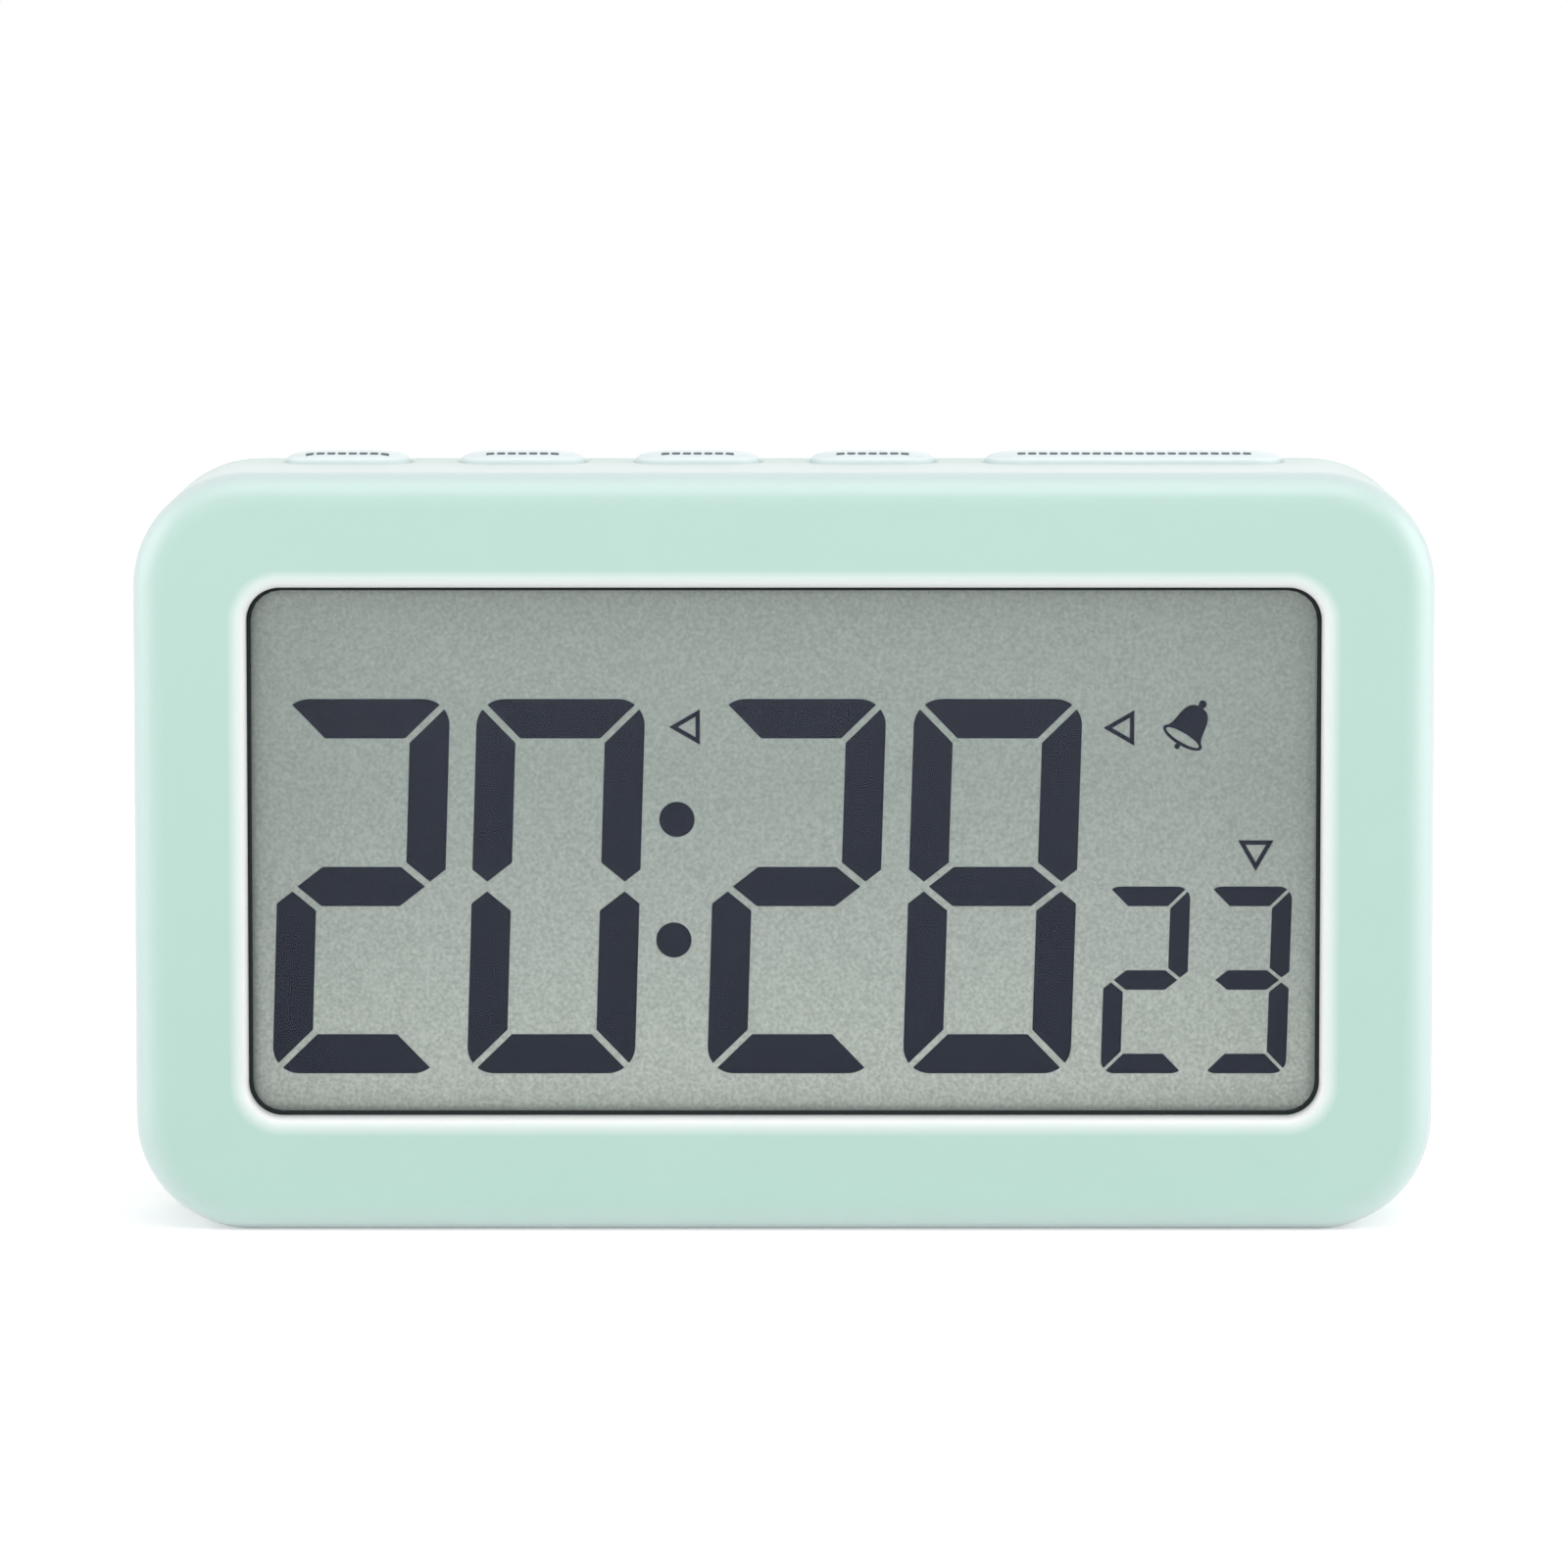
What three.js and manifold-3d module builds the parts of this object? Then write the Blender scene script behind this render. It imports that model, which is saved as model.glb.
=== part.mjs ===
// A table clock with a large liquid-crystal display: a moulded two-part case with a glazed front,
// five push keys along the top, and a battery bay and a folding stand at the back.
// Millimetres, +Z up. The display faces -Y, and the origin is the middle of the base.

import * as THREE from 'three';
import { mergeVertices } from 'three/addons/utils/BufferGeometryUtils.js';
import Module from 'manifold-3d';

const wasm = await Module();
wasm.setup();

// Front opening and the frame round it
const WINDOW_WIDTH = 90.8;
const WINDOW_HEIGHT = 45;
const WINDOW_RADIUS = 2.9;
const WINDOW_EDGE_RADIUS = 0.8;
const BEZEL_SIDE = 9.6;
const BEZEL_TOP = 9.65;
const BEZEL_BOTTOM = 9.75;

// Case walls and seam
const CORNER_RADIUS = 9.7;
const FRONT_EDGE_RADIUS = 2.75;
const REAR_EDGE_RADIUS = 2;
const FRONT_WALL = 2.2;
const SIDE_WALL = 2;
const REAR_WALL = 1.8;
const REAR_COVER_DEPTH = 3;
const SEAM_CHAMFER = 0.3;
const SEAM_GAP = 0.1;
const LIP_HEIGHT = 1.6;
const LIP_THICKNESS = 1;
const LIP_CLEARANCE = 0.2;

// Display stack, from the front to the back
const GLUE = 0.05;
const TAPE_THICKNESS = 0.3;
const TAPE_SHOW = 0.35;
const WINDOW_THICKNESS = 1.2;
const WINDOW_LAP = 1.6;
const RIM_CLEARANCE = 0.2;
const RIM_WALL = 0.8;
const RIM_HEIGHT = 1.4;
const DISPLAY_GAP = 0.2;
const DISPLAY_MARGIN = 1.5;
const GLASS_THICKNESS = 1.1;
const GLASS_CORNER = 0.4;
const CONTACT_LEDGE = 2.6;
const REFLECTOR_THICKNESS = 0.3;
const REFLECTOR_INSET = 0.6;
const HOLDER_CLEARANCE = 0.2;
const HOLDER_WALL = 0.7;
const HOLDER_FLOOR = 1.4;
const HOLDER_CORNER = 1.2;
const ZEBRA_HEIGHT = 1.6;
const ZEBRA_END_INSET = 3;
const ZEBRA_CLEARANCE = 0.15;

// Circuit board and what stands on it
const BOARD_THICKNESS = 1.6;
const BOARD_INSET = 0.15;
const BOARD_CORNER = 1;
const BOARD_POST_SPREAD = 12;
const BOARD_EAR_HEIGHT = 4.8;
const BOARD_EAR_MARGIN = 2;
const CHIP_RADIUS = 6.5;
const CHIP_HEIGHT = 1.5;
const CRYSTAL_RADIUS = 1;
const CRYSTAL_LENGTH = 6;
const CAPACITOR_RADIUS = 2.5;
const CAPACITOR_LENGTH = 7;
const PARTS_ROW_HEIGHT = 17;
const PARTS_ROW_GAP = 4;

// Screws and their posts
const POST_RADIUS = 2.7;
const POST_GAP = 0.3;
const SCREW_CLEARANCE = 0.15;
const CASE_SCREW_RADIUS = 1.1;
const CASE_SCREW_LENGTH = 10;
const CASE_HEAD_RADIUS = 2;
const CASE_HEAD_HEIGHT = 1.5;
const CASE_HEAD_SINK = 2.8;
const BOARD_SCREW_RADIUS = 0.8;
const BOARD_SCREW_LENGTH = 5;
const BOARD_HEAD_RADIUS = 1.7;
const BOARD_HEAD_HEIGHT = 1.1;
const PILOT_SPARE = 1;

// Keys along the top
const KEY_WIDTH = 10.6;
const KEY_ROW_INSET = 2.7;
const KEY_DEPTH = 6.4;
const KEY_CLEARANCE = 0.25;
const KEY_LAND = 1.05;
const KEY_SIDE = 0.3;
const KEY_CROWN = 0.7;
const KEY_CROWN_FLAT = 0.5;
const KEY_WING = 0.5;
const KEY_FLANGE = 1;
const KEY_LASH = 0.1;
const KEY_STEM_RADIUS = 1.7;
const KEY_STEM_LENGTH = 1.3;
const KEY_TRAVEL = 0.5;

// Tact switches and the board that carries them
const SWITCH_SIZE = 6;
const SWITCH_HEIGHT = 3.4;
const SWITCH_CORNER = 0.5;
const PLUNGER_RADIUS = 1.7;
const PLUNGER_RISE = 0.8;
const PLUNGER_SEAT = 1.2;
const PLUNGER_GAP = 0.1;
const PLUNGER_CLEARANCE = 0.1;
const KEY_BOARD_THICKNESS = 1.5;
const KEY_BOARD_MARGIN = 1.8;
const KEY_BOSS_RADIUS = 1.45;
const HEADER_PINS = 6;
const HEADER_PIN = 0.64;
const HEADER_PIN_GAP = 1.9;
const HEADER_HEIGHT = 2.4;
const HEADER_GAP = 0.1;
const HEADER_REACH = 1.4;

// Battery bay with two cells side by side
const CELL_DIAMETER = 10.5;
const CELL_LENGTH = 44.5;
const CELL_NUB_RADIUS = 1.9;
const CELL_NUB_LENGTH = 1.2;
const CELL_SHOULDER = 0.6;
const CELL_GAP = 0.3;
const CELL_CLEARANCE = 0.3;
const TROUGH_CLEARANCE = 0.25;
const CELL_TO_DOOR = 0.2;
const BOARD_TO_BAY = 0.8;
const BAY_WALL = 1;
const BAY_TO_KEY_SCREWS = 0.3;
const CONTACT_THICKNESS = 0.4;
const CONTACT_SIZE = 8;
const CONTACT_GAP = 0.1;
const CONTACT_POCKET = 1.2;
const CELL_END_GAP = 0.3;
const SPRING_LENGTH = 4.6;
const SPRING_BASE_RADIUS = 3.4;
const SPRING_TIP_RADIUS = 2.2;
const SPRING_TURNS = 3;
const SPRING_WIRE = 0.7;
const SPRING_BITE = 0.15;
const TAIL_WIDTH = 2;
const TAIL_REACH = 1.5;
const TAIL_CLEARANCE = 0.2;

// Battery door
const DOOR_THICKNESS = 1.5;
const DOOR_LAP = 1.6;
const DOOR_GAP = 0.3;
const DOOR_CORNER = 1.2;
const DOOR_SEAT_THICKNESS = 1.2;
const DOOR_SEAT_MARGIN = 0.8;
const HOOK_WIDTH = 6;
const HOOK_SPREAD = 32;
const HOOK_NECK = 1;
const HOOK_TOE = 1.2;
const HOOK_THICKNESS = 1;
const HOOK_CLEARANCE = 0.2;
const HOOK_TURN_CLEARANCE = 0.4;
const LATCH_WIDTH = 9;
const LATCH_LENGTH = 6;
const LATCH_SLIT = 0.7;
const LATCH_BUMP = 0.12;
const LATCH_BUMP_RADIUS = 0.4;
const LATCH_SCOOP_RADIUS = 6;
const LATCH_SCOOP_DEPTH = 1;

// Folding stand
const STAND_WIDTH = 52;
const STAND_THICKNESS = 1.9;
const STAND_SILL = 2;
const STAND_CLEARANCE = 0.3;
const STAND_TO_DOOR = 2.2;
const STAND_CORNER = 3;
const STAND_PIN_RADIUS = 0.8;
const STAND_PIN_LENGTH = 1.2;
const STAND_PIN_CLEARANCE = 0.15;
const POCKET_WALL = 1.8;
const POCKET_FLOOR = 1.4;
const FINGER_NOTCH_WIDTH = 14;

// Sounder behind a cluster of holes
const BUZZER_SIDE_GAP = 1.9;
const BUZZER_THICKNESS = 0.3;
const CERAMIC_INSET = 3;
const CERAMIC_THICKNESS = 0.3;
const CHAMBER_HEIGHT = 1.6;
const CHAMBER_WALL = 1.6;
const CHAMBER_MARGIN = 0.6;
const SOUND_HOLE_RADIUS = 0.9;
const SOUND_HOLE_RING = 3.6;
const SOUND_HOLES = 6;

// Insulated leads
const LEAD_RADIUS = 0.5;
const LEAD_GAP = 0.25;
const LEAD_BEND = 2.5;

// How finely round forms are cut
const CASE_CORNER_STEPS = 8;
const CORNER_STEPS = 5;
const SMALL_CORNER_STEPS = 2;
const EDGE_STEPS = 5;
const ROUND_STEPS = 16;
const PIN_STEPS = 10;
const SPRING_STEPS = 8;
const SPRING_SIDES = 5;
const LEAD_STEPS = 8;
const LEAD_SIDES = 6;
const CUT = 1;

// Outer size, worked out from the window, its frame and the stack of pieces behind it
const bodyWidth = WINDOW_WIDTH + 2 * BEZEL_SIDE;
const bodyHeight = WINDOW_HEIGHT + BEZEL_TOP + BEZEL_BOTTOM;
const windowZ = BEZEL_BOTTOM + WINDOW_HEIGHT / 2;

// Depths behind the front face
const tapeFront = FRONT_WALL + GLUE;
const windowFront = tapeFront + TAPE_THICKNESS + GLUE;
const windowBack = windowFront + WINDOW_THICKNESS;
const frontGlassFront = windowBack + DISPLAY_GAP;
const frontGlassBack = frontGlassFront + GLASS_THICKNESS;
const rearGlassFront = frontGlassBack + GLUE;
const rearGlassBack = rearGlassFront + GLASS_THICKNESS;
const reflectorFront = rearGlassBack + GLUE;
const reflectorBack = reflectorFront + REFLECTOR_THICKNESS;
const holderFloorFront = reflectorBack + GLUE;
const holderBack = holderFloorFront + HOLDER_FLOOR;
const boardFront = holderBack + GLUE;
const boardBack = boardFront + BOARD_THICKNESS;
const bayOuter = boardBack + BOARD_TO_BAY;
const bayFloor = bayOuter + BAY_WALL;
const cellAxis = bayFloor + CELL_CLEARANCE + CELL_DIAMETER / 2;
const doorInner = cellAxis + CELL_DIAMETER / 2 + CELL_TO_DOOR;
const bodyDepth = doorInner + DOOR_THICKNESS;

// Places along Y
const at = (depth) => depth - bodyDepth / 2;
const frontY = at(0);
const rearY = at(bodyDepth);
const rearInnerY = rearY - REAR_WALL;
const seamY = rearY - REAR_COVER_DEPTH;
const keyY = seamY - KEY_LAND - KEY_CLEARANCE - KEY_DEPTH / 2;
const postTopY = seamY - LIP_HEIGHT - POST_GAP;
const bossBottomY = postTopY + POST_GAP;
const caseHeadY = rearY - CASE_HEAD_SINK + GLUE;

// Display sizes
const glassWidth = WINDOW_WIDTH + 2 * DISPLAY_MARGIN;
const glassTop = windowZ + WINDOW_HEIGHT / 2 + DISPLAY_MARGIN;
const rearGlassBottom = windowZ - WINDOW_HEIGHT / 2 - DISPLAY_MARGIN;
const glassBottom = rearGlassBottom - CONTACT_LEDGE;
const zebraHalf = glassWidth / 2 - ZEBRA_END_INSET;
const zebraZ = glassBottom + CONTACT_LEDGE / 2;
const holderMargin = HOLDER_CLEARANCE + HOLDER_WALL;
const holderHalf = glassWidth / 2 + holderMargin;
const holderTop = glassTop + holderMargin;
const holderBottom = glassBottom - holderMargin;

// Posts stand in the side passages between the display holder and the case wall
const postX = holderHalf + POST_GAP + POST_RADIUS;
const casePostZ = [CORNER_RADIUS, bodyHeight - CORNER_RADIUS];
const boardPostZ = [windowZ - BOARD_POST_SPREAD, windowZ + BOARD_POST_SPREAD];
const sides = [-1, 1];

// Heights of the key stack, from the top of the case down
const topInnerZ = bodyHeight - SIDE_WALL;
const flangeTop = topInnerZ - KEY_LASH;
const flangeBottom = flangeTop - KEY_FLANGE;
const stemBottom = flangeBottom - KEY_STEM_LENGTH;
const plungerTop = stemBottom - PLUNGER_GAP;
const switchTop = plungerTop - PLUNGER_RISE;
const switchBottom = switchTop - SWITCH_HEIGHT;
const keyBoardTop = switchBottom - GLUE;
const keyBoardBottom = keyBoardTop - KEY_BOARD_THICKNESS;

// Key row over the window, with room between two keys for a boss that carries their board
const keySpacing = 2 * (KEY_WING + KEY_CLEARANCE + KEY_BOSS_RADIUS);
const rowWidth = WINDOW_WIDTH - 2 * KEY_ROW_INSET;
const keyPitch = KEY_WIDTH + keySpacing;
const smallKeys = ['hour', 'minute', 'second', 'mode'].map((name, i) => (
  { name, width: KEY_WIDTH, x: i * keyPitch + (KEY_WIDTH - rowWidth) / 2 }));
const wideKeyWidth = rowWidth - smallKeys.length * keyPitch;
const keys = [...smallKeys, { name: 'start_stop', width: wideKeyWidth, x: (rowWidth - wideKeyWidth) / 2 }];
const keyBossX = [
  keys[0].x + keyPitch / 2,
  rowWidth / 2 + KEY_WING + KEY_CLEARANCE + KEY_BOSS_RADIUS,
];
const keyBoardLeft = -rowWidth / 2 - KEY_BOARD_MARGIN;
const keyBoardRight = keyBossX[1] + KEY_BOARD_MARGIN;
const keyBoardFrontY = keyY - SWITCH_SIZE / 2 - KEY_BOARD_MARGIN;
const keyBoardRearY = keyY + SWITCH_SIZE / 2 + GLUE;

// Battery bay below the key board and its screw heads
const bayTop = keyBoardBottom - GLUE - BOARD_HEAD_HEIGHT - BAY_TO_KEY_SCREWS - BAY_WALL;
const bayHeight = 2 * CELL_DIAMETER + 3 * CELL_GAP;
const bayBottom = bayTop - bayHeight;
const contactRoom = CONTACT_GAP + CONTACT_THICKNESS + CELL_END_GAP;
const bayLength = CELL_LENGTH + SPRING_LENGTH + 2 * contactRoom;
const bayHalf = bayLength / 2;
const cellY = at(cellAxis);
const lowerCellZ = bayBottom + CELL_GAP + CELL_DIAMETER / 2;
const upperCellZ = bayTop - CELL_GAP - CELL_DIAMETER / 2;
const contactX = bayHalf - CONTACT_GAP - CONTACT_THICKNESS;
const cellEndX = contactX - CELL_END_GAP;
const cellPitch = upperCellZ - lowerCellZ;
const halfContact = CONTACT_SIZE / 2;
const tailY = cellY - halfContact;

// Battery door over the bay
const doorInnerY = at(doorInner);
const doorHalf = bayHalf + DOOR_LAP;
const doorBottom = bayBottom - DOOR_LAP;
const doorTop = bayTop + DOOR_LAP;
const doorZ = (doorBottom + doorTop) / 2;
const doorHeight = doorTop - doorBottom;
const seatHalf = doorHalf + DOOR_GAP + DOOR_SEAT_MARGIN;
const hookX = sides.map((side) => (side * HOOK_SPREAD) / 2);
const toeOuterY = rearInnerY - HOOK_CLEARANCE;
const toeInnerY = toeOuterY - HOOK_THICKNESS;

// Stand pocket below the door
const pocketTop = doorBottom - DOOR_GAP - STAND_TO_DOOR;
const pocketHalf = STAND_WIDTH / 2 + STAND_CLEARANCE;
const pocketFloorY = rearY - STAND_THICKNESS - 2 * STAND_CLEARANCE;
const standInnerY = pocketFloorY + STAND_CLEARANCE;
const standBottom = STAND_SILL + STAND_CLEARANCE;
const hingeY = standInnerY + STAND_THICKNESS / 2;
const hingeZ = pocketTop - STAND_CLEARANCE - STAND_THICKNESS / 2;

// Sounder, as large as the room beside the bay allows
const soundRoom = bodyWidth / 2 - SIDE_WALL - seatHalf;
const buzzerX = seatHalf + soundRoom / 2;
const buzzerRadius = soundRoom / 2 - CHAMBER_MARGIN - BUZZER_SIDE_GAP;
const ceramicRadius = buzzerRadius - CERAMIC_INSET;
const buzzerZ = doorZ;
const chamberY = rearInnerY - CHAMBER_HEIGHT;
const buzzerFrontY = chamberY - GLUE - BUZZER_THICKNESS;
const ceramicFrontY = buzzerFrontY - GLUE - CERAMIC_THICKNESS;

// Solid from any closed three.js geometry, with shared vertices merged and faces pointing out
function solidOf(geometry) {
  const bare = geometry.clone();
  bare.deleteAttribute('normal');
  bare.deleteAttribute('uv');
  const merged = mergeVertices(bare);
  const positions = merged.attributes.position.array;
  const corner = (i) => new THREE.Vector3().fromArray(positions, 3 * i);
  const triangles = [];
  let volume = 0;
  for (let i = 0; i < merged.index.count; i += 3) {
    const [a, b, c] = merged.index.array.slice(i, i + 3);
    if (a !== b && b !== c && c !== a) {
      triangles.push([a, b, c]);
      volume += corner(a).dot(corner(b).cross(corner(c)));
    }
  }
  const outward = volume > 0 ? triangles : triangles.map(([a, b, c]) => [a, c, b]);
  return new wasm.Manifold(new wasm.Mesh({
    numProp: 3,
    vertProperties: new Float32Array(positions),
    triVerts: new Uint32Array(outward.flat()),
  }));
}

const joined = (solids) => solids.reduce((all, solid) => all.add(solid));
const cutBy = (solid, cutters) => cutters.reduce((left, cutter) => left.subtract(cutter), solid);

// Rounded rectangle as points, the same way round, with the same count for the same steps
function roundedRectangle(width, height, radius, steps) {
  const round = Math.min(radius, width / 2, height / 2);
  const corners = [[1, 1], [-1, 1], [-1, -1], [1, -1]];
  return corners.flatMap(([sideX, sideY], quarter) => {
    const centre = new THREE.Vector2(sideX * (width / 2 - round), sideY * (height / 2 - round));
    return Array.from({ length: steps + 1 }, (_, step) => {
      const angle = (Math.PI / 2) * (quarter + step / steps);
      return new THREE.Vector2(round, 0).rotateAround(new THREE.Vector2(), angle).add(centre);
    });
  });
}

// Closed solid through a stack of rings with equal counts of points
function loft(rings) {
  const count = rings[0].length;
  const index = [];
  for (let level = 0; level + 1 < rings.length; level++) {
    for (let i = 0; i < count; i++) {
      const a = level * count + i;
      const b = level * count + ((i + 1) % count);
      index.push(a, b, b + count, a, b + count, a + count);
    }
  }
  const last = (rings.length - 1) * count;
  for (let i = 1; i + 1 < count; i++) {
    index.push(0, i + 1, i, last, last + i, last + i + 1);
  }
  const geometry = new THREE.BufferGeometry();
  geometry.setFromPoints(rings.flat());
  geometry.setIndex(index);
  return solidOf(geometry);
}

// Ring of a rounded rectangle in the X-Z plane
function ringY(y, width, height, radius, z, steps) {
  return roundedRectangle(width, height, radius, steps).map((p) => new THREE.Vector3(p.x, y, p.y + z));
}

// Flat plate with slightly rounded corners
function plateY(y0, y1, width, height, radius, z) {
  return loft([y0, y1].map((y) => ringY(y, width, height, radius, z, SMALL_CORNER_STEPS)));
}

// Ring of a rounded rectangle in the X-Y plane
function ringZ(z, width, depth, radius, steps) {
  return roundedRectangle(width, depth, radius, steps).map((p) => new THREE.Vector3(p.x, p.y, z));
}

function block(x0, x1, y0, y1, z0, z1) {
  const geometry = new THREE.BoxGeometry(x1 - x0, y1 - y0, z1 - z0);
  return solidOf(geometry.translate((x0 + x1) / 2, (y0 + y1) / 2, (z0 + z1) / 2));
}

function rodX(radius, x0, x1, y, z, steps = ROUND_STEPS) {
  const geometry = new THREE.CylinderGeometry(radius, radius, x1 - x0, steps);
  return solidOf(geometry.rotateZ(Math.PI / 2).translate((x0 + x1) / 2, y, z));
}

function rodY(radius, y0, y1, x, z, steps = ROUND_STEPS) {
  const geometry = new THREE.CylinderGeometry(radius, radius, y1 - y0, steps);
  return solidOf(geometry.translate(x, (y0 + y1) / 2, z));
}

function rodZ(radius, z0, z1, x, y, steps = ROUND_STEPS) {
  const geometry = new THREE.CylinderGeometry(radius, radius, z1 - z0, steps);
  return solidOf(geometry.rotateX(Math.PI / 2).translate(x, y, (z0 + z1) / 2));
}

// Side profile drawn in the Y-Z plane and carried along X
function profileX(points, x0, x1) {
  const shape = new THREE.Shape(points.map(([y, z]) => new THREE.Vector2(y, z)));
  const geometry = new THREE.ExtrudeGeometry(shape, { depth: x1 - x0, bevelEnabled: false });
  const turn = new THREE.Matrix4().makeBasis(
    new THREE.Vector3(0, 1, 0),
    new THREE.Vector3(0, 0, 1),
    new THREE.Vector3(1, 0, 0),
  );
  return solidOf(geometry.applyMatrix4(turn).translate(x0, 0, 0));
}

// Revolved form about the Y axis, from [radius, y] pairs that start and end on the axis
function turned(profile, steps = ROUND_STEPS) {
  return solidOf(new THREE.LatheGeometry(profile.map(([r, y]) => new THREE.Vector2(r, y)), steps));
}

// Steps of a rounded edge: how far in and how far along each ring lies
function edgeSteps(radius) {
  return Array.from({ length: EDGE_STEPS + 1 }, (_, step) => {
    const angle = (Math.PI / 2) * (step / EDGE_STEPS);
    return { inset: radius * (1 - Math.sin(angle)), along: radius * (1 - Math.cos(angle)) };
  });
}

// Outline of the case, drawn in by an inset
function caseRing(y, inset) {
  const width = bodyWidth - 2 * inset;
  const height = bodyHeight - 2 * inset;
  return ringY(y, width, height, CORNER_RADIUS - inset, bodyHeight / 2, CASE_CORNER_STEPS);
}

// Outline of the window opening, let out by an outset
function windowRing(y, outset) {
  const width = WINDOW_WIDTH + 2 * outset;
  const height = WINDOW_HEIGHT + 2 * outset;
  return ringY(y, width, height, WINDOW_RADIUS + outset, windowZ, CORNER_STEPS);
}

const windowPlate = (y0, y1, outset) => loft([windowRing(y0, outset), windowRing(y1, outset)]);

const keyRing = (z, key, outset, wing = 0) => ringZ(
  z,
  key.width + 2 * (outset + wing),
  KEY_DEPTH + 2 * outset,
  KEY_DEPTH / 2 + outset,
  CORNER_STEPS,
);

// Front shell: a deep tray with a rounded front edge, a glazed opening and key openings
function frontShell() {
  const frontSteps = edgeSteps(FRONT_EDGE_RADIUS);
  const outerRings = frontSteps.map(({ inset, along }) => caseRing(frontY + along, inset));
  outerRings.push(caseRing(seamY - SEAM_CHAMFER, 0), caseRing(seamY, SEAM_CHAMFER));
  const cavity = loft([caseRing(at(FRONT_WALL), SIDE_WALL), caseRing(seamY + CUT, SIDE_WALL)]);
  const tray = loft(outerRings).subtract(cavity);

  const posts = [];
  const pilots = [];
  for (const side of sides) {
    for (const z of casePostZ) {
      const depth = CASE_SCREW_LENGTH + PILOT_SPARE;
      posts.push(rodY(POST_RADIUS, at(FRONT_WALL) - GLUE, postTopY, side * postX, z));
      pilots.push(rodY(CASE_SCREW_RADIUS + SCREW_CLEARANCE, caseHeadY - depth, postTopY + CUT,
        side * postX, z, PIN_STEPS));
    }
    for (const z of boardPostZ) {
      const depth = BOARD_SCREW_LENGTH - BOARD_THICKNESS + PILOT_SPARE;
      const seat = at(boardFront - GLUE);
      posts.push(rodY(POST_RADIUS, at(FRONT_WALL) - GLUE, seat, side * postX, z));
      pilots.push(rodY(BOARD_SCREW_RADIUS + SCREW_CLEARANCE, seat - depth, seat + CUT,
        side * postX, z, PIN_STEPS));
    }
  }

  const rimInner = WINDOW_LAP + RIM_CLEARANCE;
  const rimTop = at(FRONT_WALL + RIM_HEIGHT);
  const rim = windowPlate(at(FRONT_WALL) - GLUE, rimTop, rimInner + RIM_WALL)
    .subtract(windowPlate(at(FRONT_WALL) - CUT, rimTop + CUT, rimInner));

  const keyBosses = keyBossX.map((x) => (
    rodZ(KEY_BOSS_RADIUS, keyBoardTop + GLUE, topInnerZ + GLUE, x, keyY)));
  const bossPilots = keyBossX.map((x) => rodZ(BOARD_SCREW_RADIUS + SCREW_CLEARANCE, keyBoardTop - CUT,
    keyBoardBottom + BOARD_SCREW_LENGTH + PILOT_SPARE, x, keyY, PIN_STEPS));

  const edge = Math.min(WINDOW_EDGE_RADIUS, FRONT_WALL);
  const openingRings = edgeSteps(edge).map(({ inset, along }) => windowRing(frontY + along, inset));
  openingRings.unshift(windowRing(frontY - CUT, edge));
  openingRings.push(windowRing(at(FRONT_WALL) + GLUE, 0));
  const keyOpenings = keys.map((key) => loft([
    keyRing(topInnerZ - GLUE, key, KEY_CLEARANCE),
    keyRing(bodyHeight + CUT, key, KEY_CLEARANCE),
  ]).translate([key.x, keyY, 0]));

  const body = joined([tray, rim, ...posts, ...keyBosses]);
  return cutBy(body, [...pilots, ...bossPilots, loft(openingRings), ...keyOpenings]);
}

// Battery bay cut: two round troughs for the cells, open to the back, and a pocket at each end
function bayCutters() {
  const troughs = [lowerCellZ, upperCellZ].map((z) => (
    rodX(CELL_DIAMETER / 2 + TROUGH_CLEARANCE, -bayHalf, bayHalf, cellY, z)));
  const mouth = block(-bayHalf, bayHalf, cellY, rearY + CUT, bayBottom, bayTop);
  const pockets = sides.map((side) => {
    const x = side * (bayHalf - CONTACT_POCKET / 2);
    return block(x - CONTACT_POCKET / 2, x + CONTACT_POCKET / 2, at(bayFloor), rearY + CUT,
      bayBottom, bayTop);
  });
  const tailSlots = [lowerCellZ, upperCellZ].map((z) => block(
    bayHalf - GLUE,
    bayHalf + BAY_WALL + CUT,
    tailY - TAIL_CLEARANCE,
    tailY + CONTACT_THICKNESS + TAIL_CLEARANCE,
    z - TAIL_WIDTH / 2 - TAIL_CLEARANCE,
    z + TAIL_WIDTH / 2 + TAIL_CLEARANCE,
  ));
  return [...troughs, mouth, ...pockets, ...tailSlots];
}

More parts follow.
